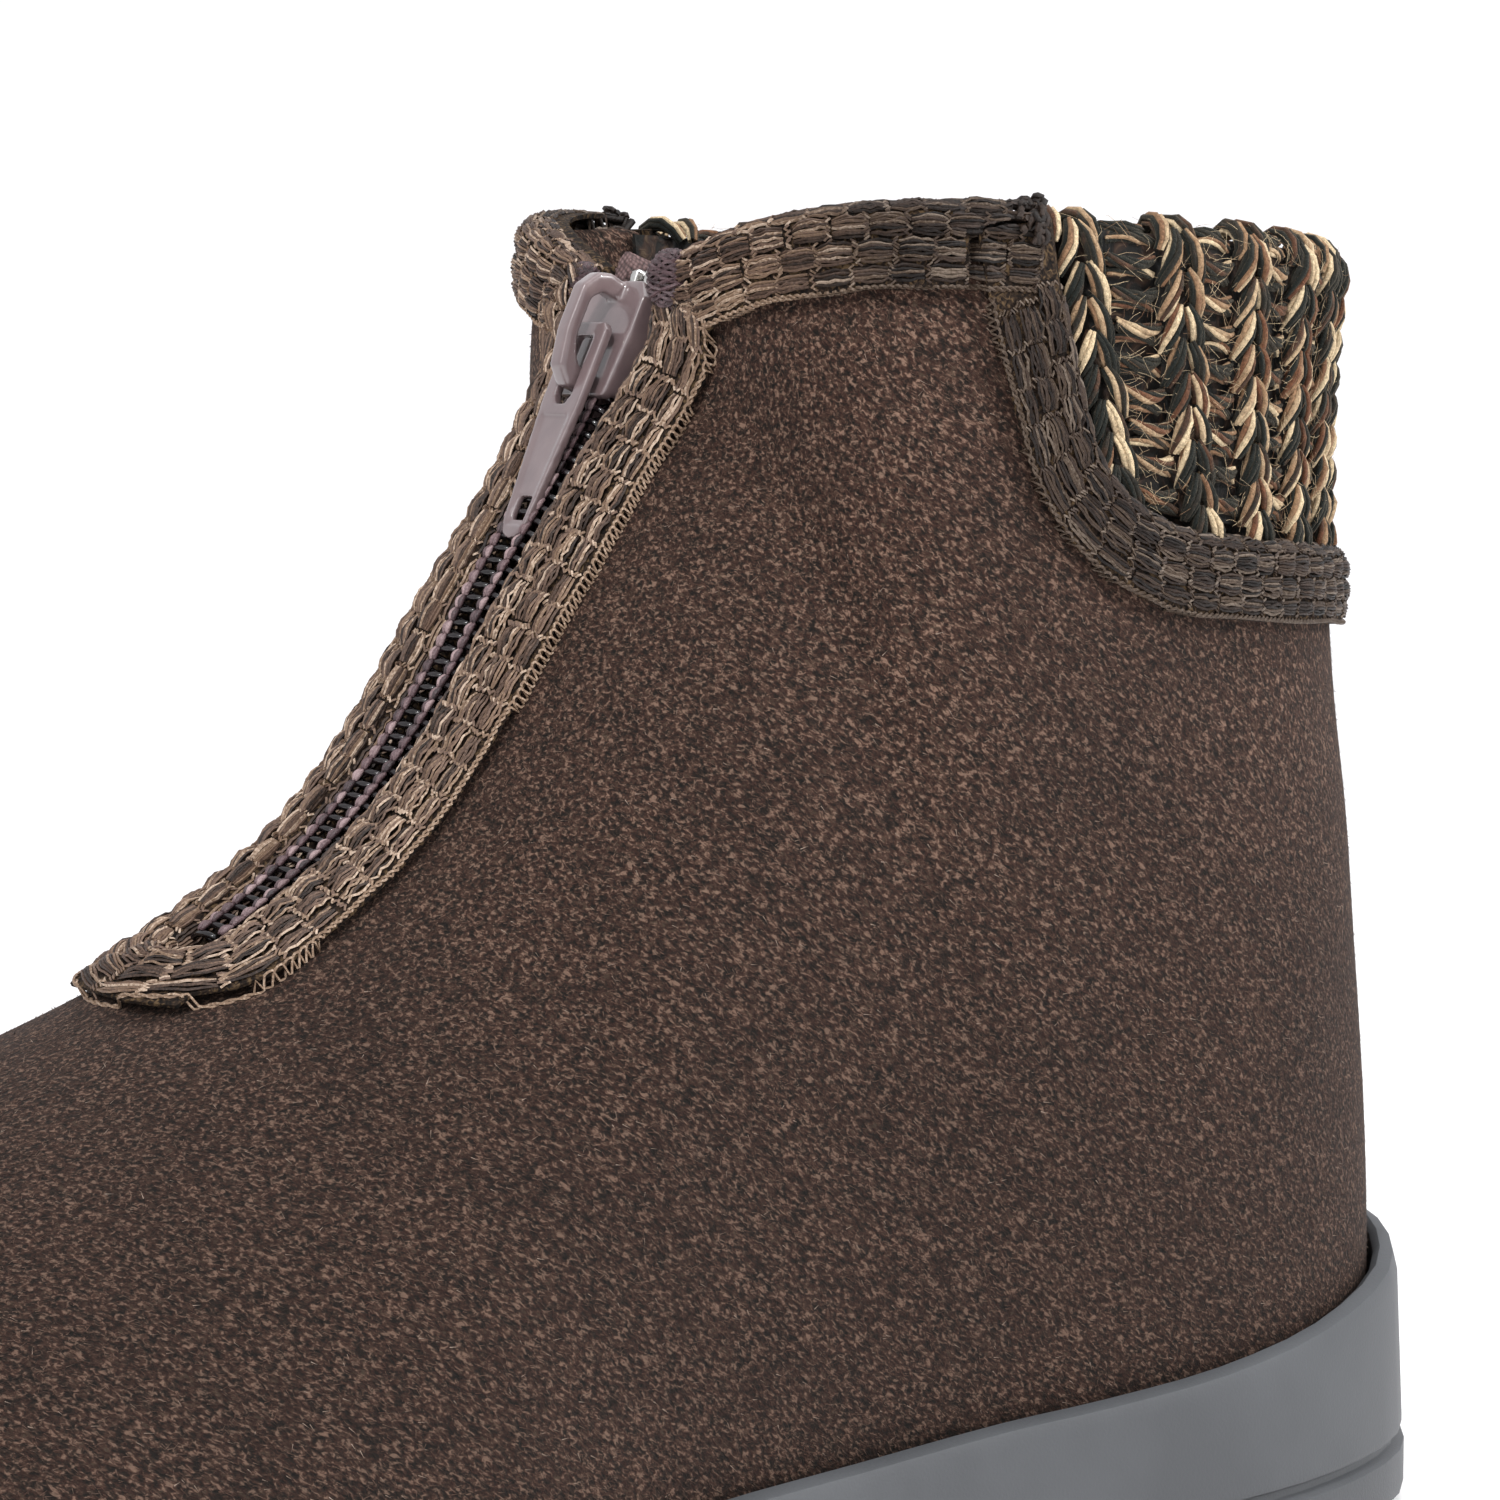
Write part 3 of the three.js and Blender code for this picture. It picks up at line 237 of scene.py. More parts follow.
# Moulded rubber, blue-grey and matt: a fine spark-eroded grain, a low broad
# shine, and slightly darker clouds where the mould was drier
material, tree, shader = new_finish("moulded_grey_rubber")
coords = add(tree, "TexCoord").outputs["Object"]
clouds = noise(tree, coords, 60.0, 4.0)
tint = ramp(tree, clouds, [(0.35, "#3a3c3f"), (0.65, "#434548")])
grain = noise(tree, coords, 3200.0, 2.0)
relief(tree, shader, grain, 0.35, 0.0001)
shine = mapped(tree, clouds, 0.0, 1.0, 0.5, 0.66)
connect(tree, shader, {"Base Color": tint, "Roughness": shine, "IOR": 1.5})
settle(sole, material, "boot", 30)


# Insole. A loose footbed cut from thick pressed wool felt, which lies on the
# sole inside the boot.

footbed = merged_copy("insole", "wool_footbed")
rounded(footbed, 0.0008, 50)

# Pressed wool felt, beige-grey: matted fibres of several tones about 0.3 mm
# wide, soft and without any shine
material, tree, shader = new_finish("pressed_wool_felt")
coords = add(tree, "TexCoord").outputs["Object"]
fibres = noise(tree, coords, 1800.0, 5.0, Distortion=1.5)
tint = ramp(tree, fibres, [(0.3, "#4b4036"), (0.5, "#6d5f50"), (0.7, "#8b7b68")])
relief(tree, shader, fibres, 0.7, 0.0003)
connect(tree, shader, {"Base Color": tint, "Roughness": 0.95, "Sheen Weight": 0.3})
settle(footbed, material, "boot", 50)


# Upper. Cut from one kind of thick short-napped wool felt and lasted, so it
# follows the foot in smooth curves. It shows hardly any crease.

upper = merged_copy("upper", "felt_upper")
bpy.ops.object.mode_set(mode="EDIT")
bpy.ops.mesh.select_all(action="SELECT")
bpy.ops.mesh.tris_convert_to_quads()
bpy.ops.object.mode_set(mode="OBJECT")
finish_modifier(upper, "SUBSURF", levels=2, render_levels=2)

# Soft troughs and swells of the worn felt: both ends along the foot and up,
# depth (below zero for a swell) and half width in mm; on both sides alike
FELT_FORMS = [
    (-88, 88, -58, 76, 0.7, 9),
    (-72, 58, -30, 50, 0.8, 10),
    (-20, 60, 8, 44, -0.7, 9),
    (-34, 86, -20, 70, -0.6, 7),
    (12, 52, 34, 36, 0.6, 8),
    (-116, 76, -104, 60, -0.5, 9),
]


def points_of(mesh):
    """The mesh's vertices in millimetres."""
    points = np.zeros(len(mesh.vertices) * 3)
    mesh.vertices.foreach_get("co", points)
    return points.reshape(-1, 3) * 1000


points = points_of(upper.data)
for x1, z1, x2, z2, depth, half_width in FELT_FORMS:
    span = math.hypot(x2 - x1, z2 - z1)
    along = np.array([x2 - x1, z2 - z1]) / span
    seen = points[:, [0, 2]] - (x1, z1)
    nearest = np.clip(seen @ along, 0, span)
    away = np.linalg.norm(seen - nearest[:, None] * along, axis=1)
    points[:, 1] -= np.sign(points[:, 1]) * depth * np.exp(-((away / half_width) ** 2))
upper.data.vertices.foreach_set("co", (points / 1000).ravel())

# Napped wool felt, dark brown: short fibres of brown, red-brown, olive and near
# black lie down towards the heel and the sole, with a dull bloom at grazing angles,
# and painted light makes the whole grow paler towards the collar
NAP_TILT = math.radians(35)
material, tree, shader = new_finish("napped_brown_felt")
coords = add(tree, "TexCoord").outputs["Object"]
lying = add(
    tree,
    "Mapping",
    {"Vector": coords, "Rotation": (0, -NAP_TILT, 0), "Scale": (2.0, 1, 1)},
    vector_type="TEXTURE",
).outputs["Vector"]
speckle = noise(tree, lying, 2600.0, 2.0, Roughness=0.6, Distortion=0.5)
second = noise(tree, lying, 1500.0, 5.0, Roughness=0.75)
brown = ramp(
    tree,
    speckle,
    [(0.36, "#080605"), (0.46, "#241a16"), (0.55, "#4c392f"), (0.66, "#a08270")],
)
mixed = ramp(tree, second, [(0.34, "#10110d"), (0.46, "#30261f"), (0.55, "#56352b"), (0.66, "#74604f")])
wide = noise(tree, coords, 45.0, 6.0, Roughness=0.7)
both = add(tree, "Mix", {0: 0.38, 6: brown, 7: mixed}, data_type="RGBA")
shade = mapped(tree, wide, 0.3, 0.7, 0.34, 0.48)
apart = add(tree, "SeparateXYZ", {"Vector": coords})
# Painted light: the felt's colour grows lighter with height, towards the collar
painted_shading = mapped(tree, apart.outputs["Z"], 0.06, 0.125, 1.0, 1.5)
shade = add(tree, "Math", {0: shade, 1: painted_shading}, operation="MULTIPLY")
toned = add(tree, "HueSaturation", {"Color": both.outputs[2], "Value": shade.outputs["Value"]})
relief(tree, shader, speckle, 0.8, 0.0003)
connect(
    tree,
    shader,
    {
        "Base Color": toned.outputs["Color"],
        "Roughness": 0.95,
        "Specular IOR Level": 0.2,
        "Sheen Weight": 0.12,
        "Sheen Roughness": 0.5,
        "Sheen Tint": linear("#8f8078"),
    },
)
settle(upper, material, "boot", 60)


# Fibres of the nap, in mm. The felt's outer face looks away from a line inside the
# foot that runs between two places along it, at a part of each point's height
INNER_LINE = (-83, 100)
INNER_HEIGHT = 0.55
RIM_TOP = 16
FIBRE_STRAY = 0.55
FIBRE_RISE = (0.08, 0.45)
FIBRE_HALF_WIDTH = (0.025, 0.045)


def new_piece(name, points, faces, tones):
    """points are in millimetres, and tones holds a value from 0 to 1 for each."""
    mesh = bpy.data.meshes.new(name)
    mesh.from_pydata((points / 1000).tolist(), [], faces)
    mesh.attributes.new("tone", "FLOAT", "POINT").data.foreach_set("value", tones)
    piece = bpy.data.objects.new(name, mesh)
    bpy.context.scene.collection.objects.link(piece)
    return piece


def nap_fibres(name, count, shortest, longest, seed):
    """Single fibres, one thin triangle each, laid over the outer face of the felt."""
    rng = np.random.default_rng(seed)
    mesh = upper.data
    mesh.calc_loop_triangles()
    corners = np.zeros(len(mesh.loop_triangles) * 3, int)
    mesh.loop_triangles.foreach_get("vertices", corners)
    first, second, third = points_of(mesh)[corners.reshape(-1, 3)].transpose(1, 0, 2)
    face = np.cross(second - first, third - first)
    area = np.linalg.norm(face, axis=1)
    normal = face / np.maximum(area, 1e-9)[:, None]
    centre = (first + second + third) / 3
    x, y, z = centre.T
    inner = np.stack([np.clip(x, *INNER_LINE), 0 * y, INNER_HEIGHT * z], -1)
    outside = (np.einsum("ij,ij->i", normal, centre - inner) > 0) & (z > RIM_TOP)
    chosen = rng.choice(len(area), count, p=area * outside / np.sum(area * outside))
    a, b = rng.random((2, count, 1))
    a, b = np.where(a + b > 1, 1 - a, a), np.where(a + b > 1, 1 - b, b)
    root = first[chosen] + (second - first)[chosen] * a + (third - first)[chosen] * b
    up = normal[chosen]
    down = np.array([-math.cos(NAP_TILT), 0, -math.sin(NAP_TILT)])
    lie = down + rng.normal(0, FIBRE_STRAY, (count, 3))
    lie -= up * np.einsum("ij,ij->i", lie, up)[:, None]
    lie /= np.linalg.norm(lie, axis=1, keepdims=True)
    length = rng.uniform(shortest, longest, (count, 1))
    tip = root + lie * length + up * length * rng.uniform(*FIBRE_RISE, (count, 1))
    width = np.cross(lie, up) * rng.uniform(*FIBRE_HALF_WIDTH, (count, 1))
    points = np.stack([root + width, root - width, tip], 1).reshape(-1, 3)
    faces = np.arange(count * 3).reshape(-1, 3).tolist()
    return new_piece(name, points, faces, np.repeat(rng.random(count), 3))


# Loose wool fibres of the nap: the felt's own tones, a few of them much lighter
material, tree, shader = new_finish("loose_wool_fibre")
tone = add(tree, "Attribute", attribute_name="tone").outputs["Fac"]
tint = ramp(
    tree,
    tone,
    [(0.0, "#0d0a08"), (0.35, "#261c17"), (0.7, "#412d25"), (0.96, "#54443a"), (1.0, "#86766a")],
)
connect(tree, shader, {"Base Color": tint, "Roughness": 0.8, "Specular IOR Level": 0.2})
nap = nap_fibres("felt_nap", count=90000, shortest=0.35, longest=0.95, seed=5)
settle(nap, material, "boot", 80)


# Knit panel. A soft 1x1 rib knit of one thick yarn, set into a window round the
# back of the collar, with its top edge rolled over. The yarn is twisted from
# beige, red-brown and green-black strands, so its stitches change colour.

# The felt's outer face round the window, in mm: distance round the collar from the
# back, then a point at the top, halfway down and at the window's depth
KNIT_FACE = [
    (81.8, -62.0, 36.3, 138.5, -65.3, 36.8, 122.9, -70.3, 37.1, 107.6),
    (71.6, -78.0, 37.6, 137.8, -79.9, 37.1, 121.9, -83.5, 36.6, 106.3),
    (61.3, -92.1, 36.1, 137.0, -92.8, 34.9, 121.1, -95.1, 34.0, 105.2),
    (51.1, -103.9, 31.9, 136.3, -103.8, 30.6, 120.3, -105.2, 29.8, 104.4),
    (40.9, -112.2, 26.6, 135.7, -111.5, 25.6, 119.8, -112.4, 25.1, 103.8),
    (30.7, -117.8, 21.0, 135.3, -116.6, 20.3, 119.3, -117.2, 19.9, 103.3),
    (20.4, -121.8, 14.9, 134.8, -120.3, 14.5, 118.9, -120.6, 14.3, 102.9),
    (10.2, -124.2, 8.3, 134.4, -122.3, 8.1, 118.5, -122.5, 8.0, 102.5),
    (0.0, -125.0, 1.6, 134.0, -123.0, 1.6, 118.1, -123.1, 1.6, 102.1),
    (-10.2, -124.2, -5.1, 134.4, -122.3, -4.9, 118.5, -122.5, -4.8, 102.5),
    (-20.4, -121.8, -11.6, 134.8, -120.3, -11.2, 118.9, -120.6, -11.0, 102.9),
    (-30.7, -117.8, -17.8, 135.3, -116.6, -17.1, 119.3, -117.2, -16.7, 103.3),
    (-40.9, -112.2, -23.3, 135.7, -111.5, -22.3, 119.8, -112.4, -21.8, 103.8),
    (-51.1, -103.9, -28.7, 136.3, -103.8, -27.4, 120.3, -105.2, -26.6, 104.4),
    (-61.3, -92.1, -32.9, 137.0, -92.8, -31.6, 121.1, -95.1, -30.7, 105.2),
    (-71.6, -78.0, -34.4, 137.8, -79.9, -33.7, 121.9, -83.5, -33.1, 106.3),
    (-81.8, -62.0, -33.0, 138.5, -65.3, -33.5, 122.9, -70.3, -33.6, 107.6),
]
WALE_SPACING = 8.3
COURSE_HEIGHT = 3.4
WINDOW_HALF = 81.8
WINDOW_DEPTH = 32
WINDOW_CORNER = 10
ROLL_START = 2.0
ROLL_RADIUS = 1.75
KNIT_RECESS = 0.9


def smooth(rows, parts):
    """A curve through the rows, with this many parts between two of them."""
    rows = np.array(rows, float)
    padded = np.vstack([2 * rows[0] - rows[1], rows, 2 * rows[-1] - rows[-2]])
    t = np.linspace(0, 1, parts, endpoint=False)[:, None]
    spans = []
    for a, b, c, d in zip(padded, padded[1:], padded[2:], padded[3:]):
        curve = (c - a) * t + (2 * a - 5 * b + 4 * c - d) * t**2 + (3 * b - a - 3 * c + d) * t**3
        spans.append(b + 0.5 * curve)
    return np.vstack([*spans, rows[-1:]])


def unit(vectors):
    return vectors / np.maximum(np.linalg.norm(vectors, axis=-1, keepdims=True), 1e-12)


knit_rows = smooth(KNIT_FACE, 10)[::-1]


def on_felt_face(across, depth):
    """A point of the felt's face, across round the collar and depth down from its top."""
    part = depth[..., None] / WINDOW_DEPTH
    columns = [np.interp(across, knit_rows[:, 0], knit_rows[:, k]) for k in range(1, 10)]
    top, middle, low = [np.stack(columns[k : k + 3], -1) for k in (0, 3, 6)]
    return (
        top * (1 - 2 * part) * (1 - part)
        + middle * 4 * part * (1 - part)
        + low * part * (2 * part - 1)
    )


def knit_place(across, depth, lift):
    """A point above the knit's face, which rolls inwards over its top edge."""
    across, depth, lift = np.broadcast_arrays(across, depth, lift)
    flat = np.maximum(depth, ROLL_START)
    here = on_felt_face(across, flat)
    sideways = unit(on_felt_face(across + 0.5, flat) - on_felt_face(across - 0.5, flat))
    down = unit(on_felt_face(across, flat + 0.5) - on_felt_face(across, flat - 0.5))
    normal = unit(np.cross(sideways, down))
    turn = (np.maximum(ROLL_START - depth, 0) / ROLL_RADIUS)[..., None]
    outwards = normal * np.cos(turn) - down * np.sin(turn)
    centre = here - normal * (KNIT_RECESS + ROLL_RADIUS)
    point = centre + outwards * (ROLL_RADIUS + KNIT_RECESS + lift[..., None])
    return point, outwards


def tube_object(name, batches):
    """Tubes along middle lines. A batch holds its lines, their outward directions,
    radii, the number of sides and one tone for each line."""
    points, faces, tones = [], [], []
    start = 0
    for centres, outwards, radius, sides, tone in batches:
        count, rings = centres.shape[:2]
        ahead = unit(np.gradient(centres, axis=1))
        across = unit(np.cross(outwards, ahead))
        outwards = np.cross(ahead, across)
        angle = np.arange(sides) * 2 * math.pi / sides
        around = (
            across[:, :, None] * np.cos(angle)[:, None] + outwards[:, :, None] * np.sin(angle)[:, None]
        )
        points.append((centres[:, :, None] + around * radius[:, :, None, None]).reshape(-1, 3))
        number = start + np.arange(count * rings * sides).reshape(count, rings, sides)
        turned = np.roll(number, -1, axis=2)
        quads = np.stack([number[:, :-1], turned[:, :-1], turned[:, 1:], number[:, 1:]], -1)
        faces += quads.reshape(-1, 4).tolist()
        faces += number[:, 0, ::-1].tolist() + number[:, -1].tolist()
        tones.append(np.repeat(tone, rings * sides))
        start += count * rings * sides
    return new_piece(name, np.vstack(points), faces, np.concatenate(tones))


knit_base = merged_copy("knit_panel", "knit_back")
finish_modifier(knit_base, "DISPLACE", strength=-0.0008, mid_level=0)

# Inside of the knit: the same yarns with their shade painted in, matted and dark between the ribs
material, tree, shader = new_finish("wool_knit_inside")
coords = add(tree, "TexCoord").outputs["Object"]
loops = noise(tree, coords, 420.0, 5.0, Distortion=1.0)
tint = ramp(tree, loops, [(0.35, "#0a0c0b"), (0.5, "#171411"), (0.62, "#33231a"), (0.8, "#6a5842")])
relief(tree, shader, loops, 0.9, 0.0008)
connect(tree, shader, {"Base Color": tint, "Roughness": 0.95})
settle(knit_base, material, "boot", 40)


def stirred(tree, tone, grain, amount):
    """The tone of a thread, moved up and down by half of amount along its fibres."""
    moved = add(tree, "Math", {0: grain, 1: amount, 2: -amount / 2}, operation="MULTIPLY_ADD")
    return add(tree, "Math", {0: tone, 1: moved.outputs["Value"]}, operation="ADD").outputs["Value"]


# Marled wool yarn: tone 0 is green-black, 0.5 red-brown and 1 beige; fine fibres
# roughen each strand, which stays matt with a soft bloom
material, tree, shader = new_finish("marled_wool_yarn")
tone = add(tree, "Attribute", attribute_name="tone").outputs["Fac"]
coords = add(tree, "TexCoord").outputs["Object"]
fibres = noise(tree, coords, 3200.0, 4.0, Distortion=1.0)
patch = noise(tree, coords, 500.0, 2.0)
moved = stirred(tree, tone, patch, 0.35)
tint = ramp(
    tree,
    moved,
    [(0.1, "#141a18"), (0.3, "#25231e"), (0.48, "#66402c"), (0.66, "#96775a"), (0.92, "#d2bc99")],
)
shade = mapped(tree, fibres, 0.3, 0.7, 0.45, 1.15)
toned = add(tree, "HueSaturation", {"Color": tint, "Value": shade})
relief(tree, shader, fibres, 0.8, 0.0003)
connect(
    tree,
    shader,
    {
        "Base Color": toned.outputs["Color"],
        "Roughness": 0.9,
        "Specular IOR Level": 0.25,
        "Sheen Weight": 0.2,
        "Sheen Tint": linear("#c9b59a"),
    },
)
yarn_finish = material

rng = np.random.default_rng(11)

# Yarn, in mm: its strands lie round its middle line, and each one has its own tone
STRAND_TONES = (0.0, 1.0, 0.72, 0.1, 0.5, 0.08)
STRAND_RADIUS = 0.34
STRAND_OUT = 0.58


def window_depth(across, inset):
    """Depth of the window's lower edge, rounded at its corners."""
    corner = WINDOW_CORNER - inset
    past = max(0.0, abs(across) - (WINDOW_HALF - WINDOW_CORNER))
    return WINDOW_DEPTH - inset - corner + math.sqrt(max(0.0, corner * corner - past * past))


def yarn_strands(across, depth, lift, scale, phase, twist, pale):
    """Strands twisted round each middle line; the arrays are stitch by ring. phase and
    twist are in turns, and pale scales the strands' tones."""
    rings = across.shape[1]
    part = np.linspace(0, 1, rings)[None, :]
    middle, outwards = knit_place(across, depth, lift)
    sideways = unit(np.cross(outwards, unit(np.gradient(middle, axis=1))))
    batches = []
    for strand, shown in enumerate(STRAND_TONES):
        angle = (phase[:, None] + strand / len(STRAND_TONES) + twist * part) * 2 * math.pi
        offset = sideways * np.cos(angle)[..., None] + outwards * np.sin(angle)[..., None]
        wander = rng.normal(0, 0.05, across.shape)
        centres = middle + offset * (STRAND_OUT * scale + wander)[..., None]
        tone = np.clip(shown * pale + 0.25 * np.sin(5 * phase) + rng.normal(0, 0.08, len(across)), 0, 1)
        batches.append((centres, outwards, STRAND_RADIUS * scale, 5, tone))
    return batches


# Stitches, in mm: two legs to a stitch spread from their rib's middle, and two rungs
# cross each valley, one in the shade of the other. None starts under the binding
HALF_WALES = 10
COURSES = range(-1, 10)
FIRST_COURSE = 0.6
UNDER_BINDING = 1.6
LEG_APART = 0.32
LEG_SPREAD = 1.45
LEG_LENGTH = 5.0
BAR_DROP = 2.2
BAR_REACH = 2.0
# Rungs of a valley: how far down, sag, lift and thickness
BAR_ROWS = ((0.0, 0.7, -1.0, 0.85), (1.75, -0.4, -1.35, 0.7))
# Share of a turn by which the strands move on from one stitch to the next
COURSE_PHASE = 0.31
LEG_PHASE = 0.37
BAR_PHASE = 0.9
legs, bars = [], []
for wale in range(-HALF_WALES, HALF_WALES):
    middle = (wale + 0.5) * WALE_SPACING
    for course in COURSES:
        start = course * COURSE_HEIGHT + FIRST_COURSE
        if start + 2 < window_depth(middle, UNDER_BINDING):
            legs += [(middle, side, start, course, wale) for side in (-1, 1)]
        valley = middle + WALE_SPACING / 2
        if wale < HALF_WALES - 1 and start + 2.6 < window_depth(valley, UNDER_BINDING):
            bars.append((valley, start + BAR_DROP, course, wale))
legs = np.array(legs)
bars = np.array(bars)

part = np.linspace(0, 1, 7)[None, :]
shift = rng.normal(0, 0.12, (len(legs), 1))
spread = LEG_APART + LEG_SPREAD * part**0.8 + rng.normal(0, 0.08, (len(legs), 1))
leg_phase = COURSE_PHASE * legs[:, 3] + LEG_PHASE * (2 * legs[:, 4] + legs[:, 1])
leg_phase = leg_phase + rng.normal(0, 0.1, len(legs))
leg_scale = 0.5 + 0.5 * np.sin(math.pi * np.clip(part * 0.8 + 0.12, 0, 1)) + 0 * spread
wales = tube_object(
    "knit_wales",
    yarn_strands(
        legs[:, :1] + shift + legs[:, 1:2] * spread,
        legs[:, 2:3] + LEG_LENGTH * part + rng.normal(0, 0.12, (len(legs), 1)),
        -0.45 + 0.85 * np.sin(math.pi * (0.15 + 0.85 * part)) - 0.3 * part + 0 * spread,
        leg_scale,
        leg_phase,
        twist=0.25,
        pale=1.0,
    ),
)
settle(wales, yarn_finish, "boot", 80)

part = np.linspace(0, 1, 8)[None, :]
bow = 1 - (2 * part - 1) ** 2
bar_shape = np.ones((len(bars), 1))
bar_sets = []
for drop, sag, lift, size in BAR_ROWS:
    bar_sets += yarn_strands(
        bars[:, :1] + (2 * part - 1) * BAR_REACH * bar_shape + rng.normal(0, 0.15, (len(bars), 1)),
        bars[:, 1:2] + drop + sag * bow + rng.normal(0, 0.2, (len(bars), 1)),
        lift + 0.4 * bow * bar_shape,
        size * (0.75 + 0.25 * bow) * bar_shape,
        COURSE_PHASE * bars[:, 2] + BAR_PHASE * bars[:, 3] + drop + rng.normal(0, 0.15, len(bars)),
        twist=0.5,
        # Painted shade: the rungs down in the valleys get darker tones than the legs
        pale=0.78,
    )
valleys = tube_object("knit_valleys", bar_sets)
settle(valleys, yarn_finish, "boot", 80)

# Loose hairs that stand off the yarn, in mm
HAIR_COUNT = 4200
HAIR_REACH = 78
HAIR_RADIUS = 0.016
part = np.linspace(0, 1, 4)[None, :]
across = rng.uniform(-HAIR_REACH, HAIR_REACH, (HAIR_COUNT, 1))
lowest = np.array([window_depth(place, 2.0) for place in across[:, 0]])[:, None]
depth = rng.uniform(0, 1, (HAIR_COUNT, 1)) * (lowest + 1) - 1
heading = rng.uniform(0, 2 * math.pi, (HAIR_COUNT, 1)) + rng.normal(0, 0.4, (HAIR_COUNT, 1)) * part
reach = rng.uniform(0.8, 2.4, (HAIR_COUNT, 1)) * part
middle, outwards = knit_place(
    across + reach * np.cos(heading),
    depth + reach * np.sin(heading),
    rng.uniform(-0.3, 0.5, (HAIR_COUNT, 1)) + rng.uniform(-0.1, 0.7, (HAIR_COUNT, 1)) * part,
)
tones = rng.choice([0.6, 0.8, 1.0, 1.0], HAIR_COUNT)
fuzz = tube_object("knit_fuzz", [(middle, outwards, HAIR_RADIUS + 0 * reach, 3, tones)])
settle(fuzz, yarn_finish, "boot", 80)


# Bindings. A knitted elastic braid of brown threads is folded over the cut
# edges of the felt and sewn down, one length round the collar's front and the
# zip, one round the knit's window. Bundles of threads make its cushions.

# Each edge as points in mm with the felt's outward direction there
FRONT_EDGE = [
    (-62.0, 36.3, 138.5, 0.21, 0.98, 0.02), (-58.6, 35.5, 138.8, 0.28, 0.95, 0.05),
    (-54.7, 34.0, 138.9, 0.39, 0.91, 0.09), (-49.7, 31.2, 138.9, 0.56, 0.81, 0.17),
    (-46.2, 28.4, 138.6, 0.69, 0.69, 0.21), (-43.6, 25.4, 138.1, 0.80, 0.56, 0.21),
    (-41.6, 22.3, 137.5, 0.88, 0.45, 0.17), (-40.0, 18.9, 136.7, 0.94, 0.32, 0.13),
    (-39.1, 16.1, 135.7, 0.97, 0.23, 0.11), (-38.5, 13.5, 134.8, 0.98, 0.16, 0.08),
    (-37.8, 8.8, 133.2, 1.00, 0.07, 0.04), (-37.7, 8.8, 128.0, 0.84, 0.35, 0.42),
    (-36.4, 8.8, 125.1, 0.86, 0.30, 0.41), (-34.1, 8.2, 121.1, 0.84, 0.28, 0.47),
    (-30.6, 7.4, 115.8, 0.81, 0.26, 0.52), (-26.4, 7.1, 109.6, 0.80, 0.25, 0.55),
    (-22.1, 7.1, 103.7, 0.78, 0.25, 0.57), (-18.4, 7.1, 98.4, 0.82, 0.22, 0.52),
    (-15.1, 7.1, 93.2, 0.81, 0.21, 0.55), (-11.6, 7.1, 88.4, 0.77, 0.22, 0.61),
    (-8.0, 7.1, 84.2, 0.72, 0.23, 0.66), (-4.3, 7.1, 80.5, 0.66, 0.24, 0.71),
    (-0.5, 7.1, 77.2, 0.59, 0.24, 0.77), (3.6, 7.1, 74.3, 0.53, 0.23, 0.81),
    (7.8, 7.1, 71.8, 0.49, 0.22, 0.84), (11.2, 7.1, 69.9, 0.45, 0.21, 0.87),
    (13.2, 6.4, 69.1, 0.42, 0.19, 0.89), (15.1, 4.4, 68.6, 0.41, 0.14, 0.90),
    (16.0, 1.6, 68.5, 0.34, 0.08, 0.94), (15.1, -1.1, 68.6, 0.41, -0.15, 0.90),
    (13.2, -3.1, 69.1, 0.42, -0.20, 0.89), (11.2, -3.9, 69.9, 0.45, -0.22, 0.87),
    (7.8, -3.9, 71.8, 0.49, -0.23, 0.84), (3.6, -3.9, 74.3, 0.53, -0.25, 0.81),
    (-0.5, -3.9, 77.2, 0.59, -0.25, 0.77), (-4.3, -3.9, 80.5, 0.66, -0.25, 0.71),
    (-8.0, -3.9, 84.1, 0.72, -0.24, 0.65), (-11.6, -3.9, 88.4, 0.76, -0.23, 0.60),
    (-15.1, -3.9, 93.1, 0.81, -0.22, 0.55), (-18.4, -3.9, 98.3, 0.82, -0.23, 0.52),
    (-22.1, -3.9, 103.7, 0.78, -0.25, 0.57), (-26.4, -3.9, 109.6, 0.79, -0.26, 0.55),
    (-30.6, -4.1, 115.7, 0.81, -0.27, 0.52), (-34.1, -4.9, 121.1, 0.83, -0.29, 0.47),
    (-36.4, -5.5, 125.1, 0.86, -0.31, 0.41), (-37.7, -5.6, 127.9, 0.83, -0.36, 0.42),
    (-37.8, -5.6, 133.2, 1.00, -0.07, 0.04), (-38.5, -10.2, 134.8, 0.98, -0.16, 0.08),
    (-39.1, -12.9, 135.7, 0.97, -0.23, 0.11), (-40.0, -15.7, 136.7, 0.94, -0.32, 0.13),
    (-41.6, -19.1, 137.5, 0.88, -0.45, 0.17), (-43.6, -22.2, 138.1, 0.80, -0.56, 0.21),
    (-46.2, -25.1, 138.6, 0.69, -0.69, 0.21), (-49.7, -28.0, 138.9, 0.56, -0.81, 0.17),
    (-54.7, -30.7, 138.9, 0.39, -0.91, 0.09), (-58.6, -32.2, 138.8, 0.28, -0.95, 0.05),
    (-62.0, -33.0, 138.5, 0.21, -0.98, 0.02),
]
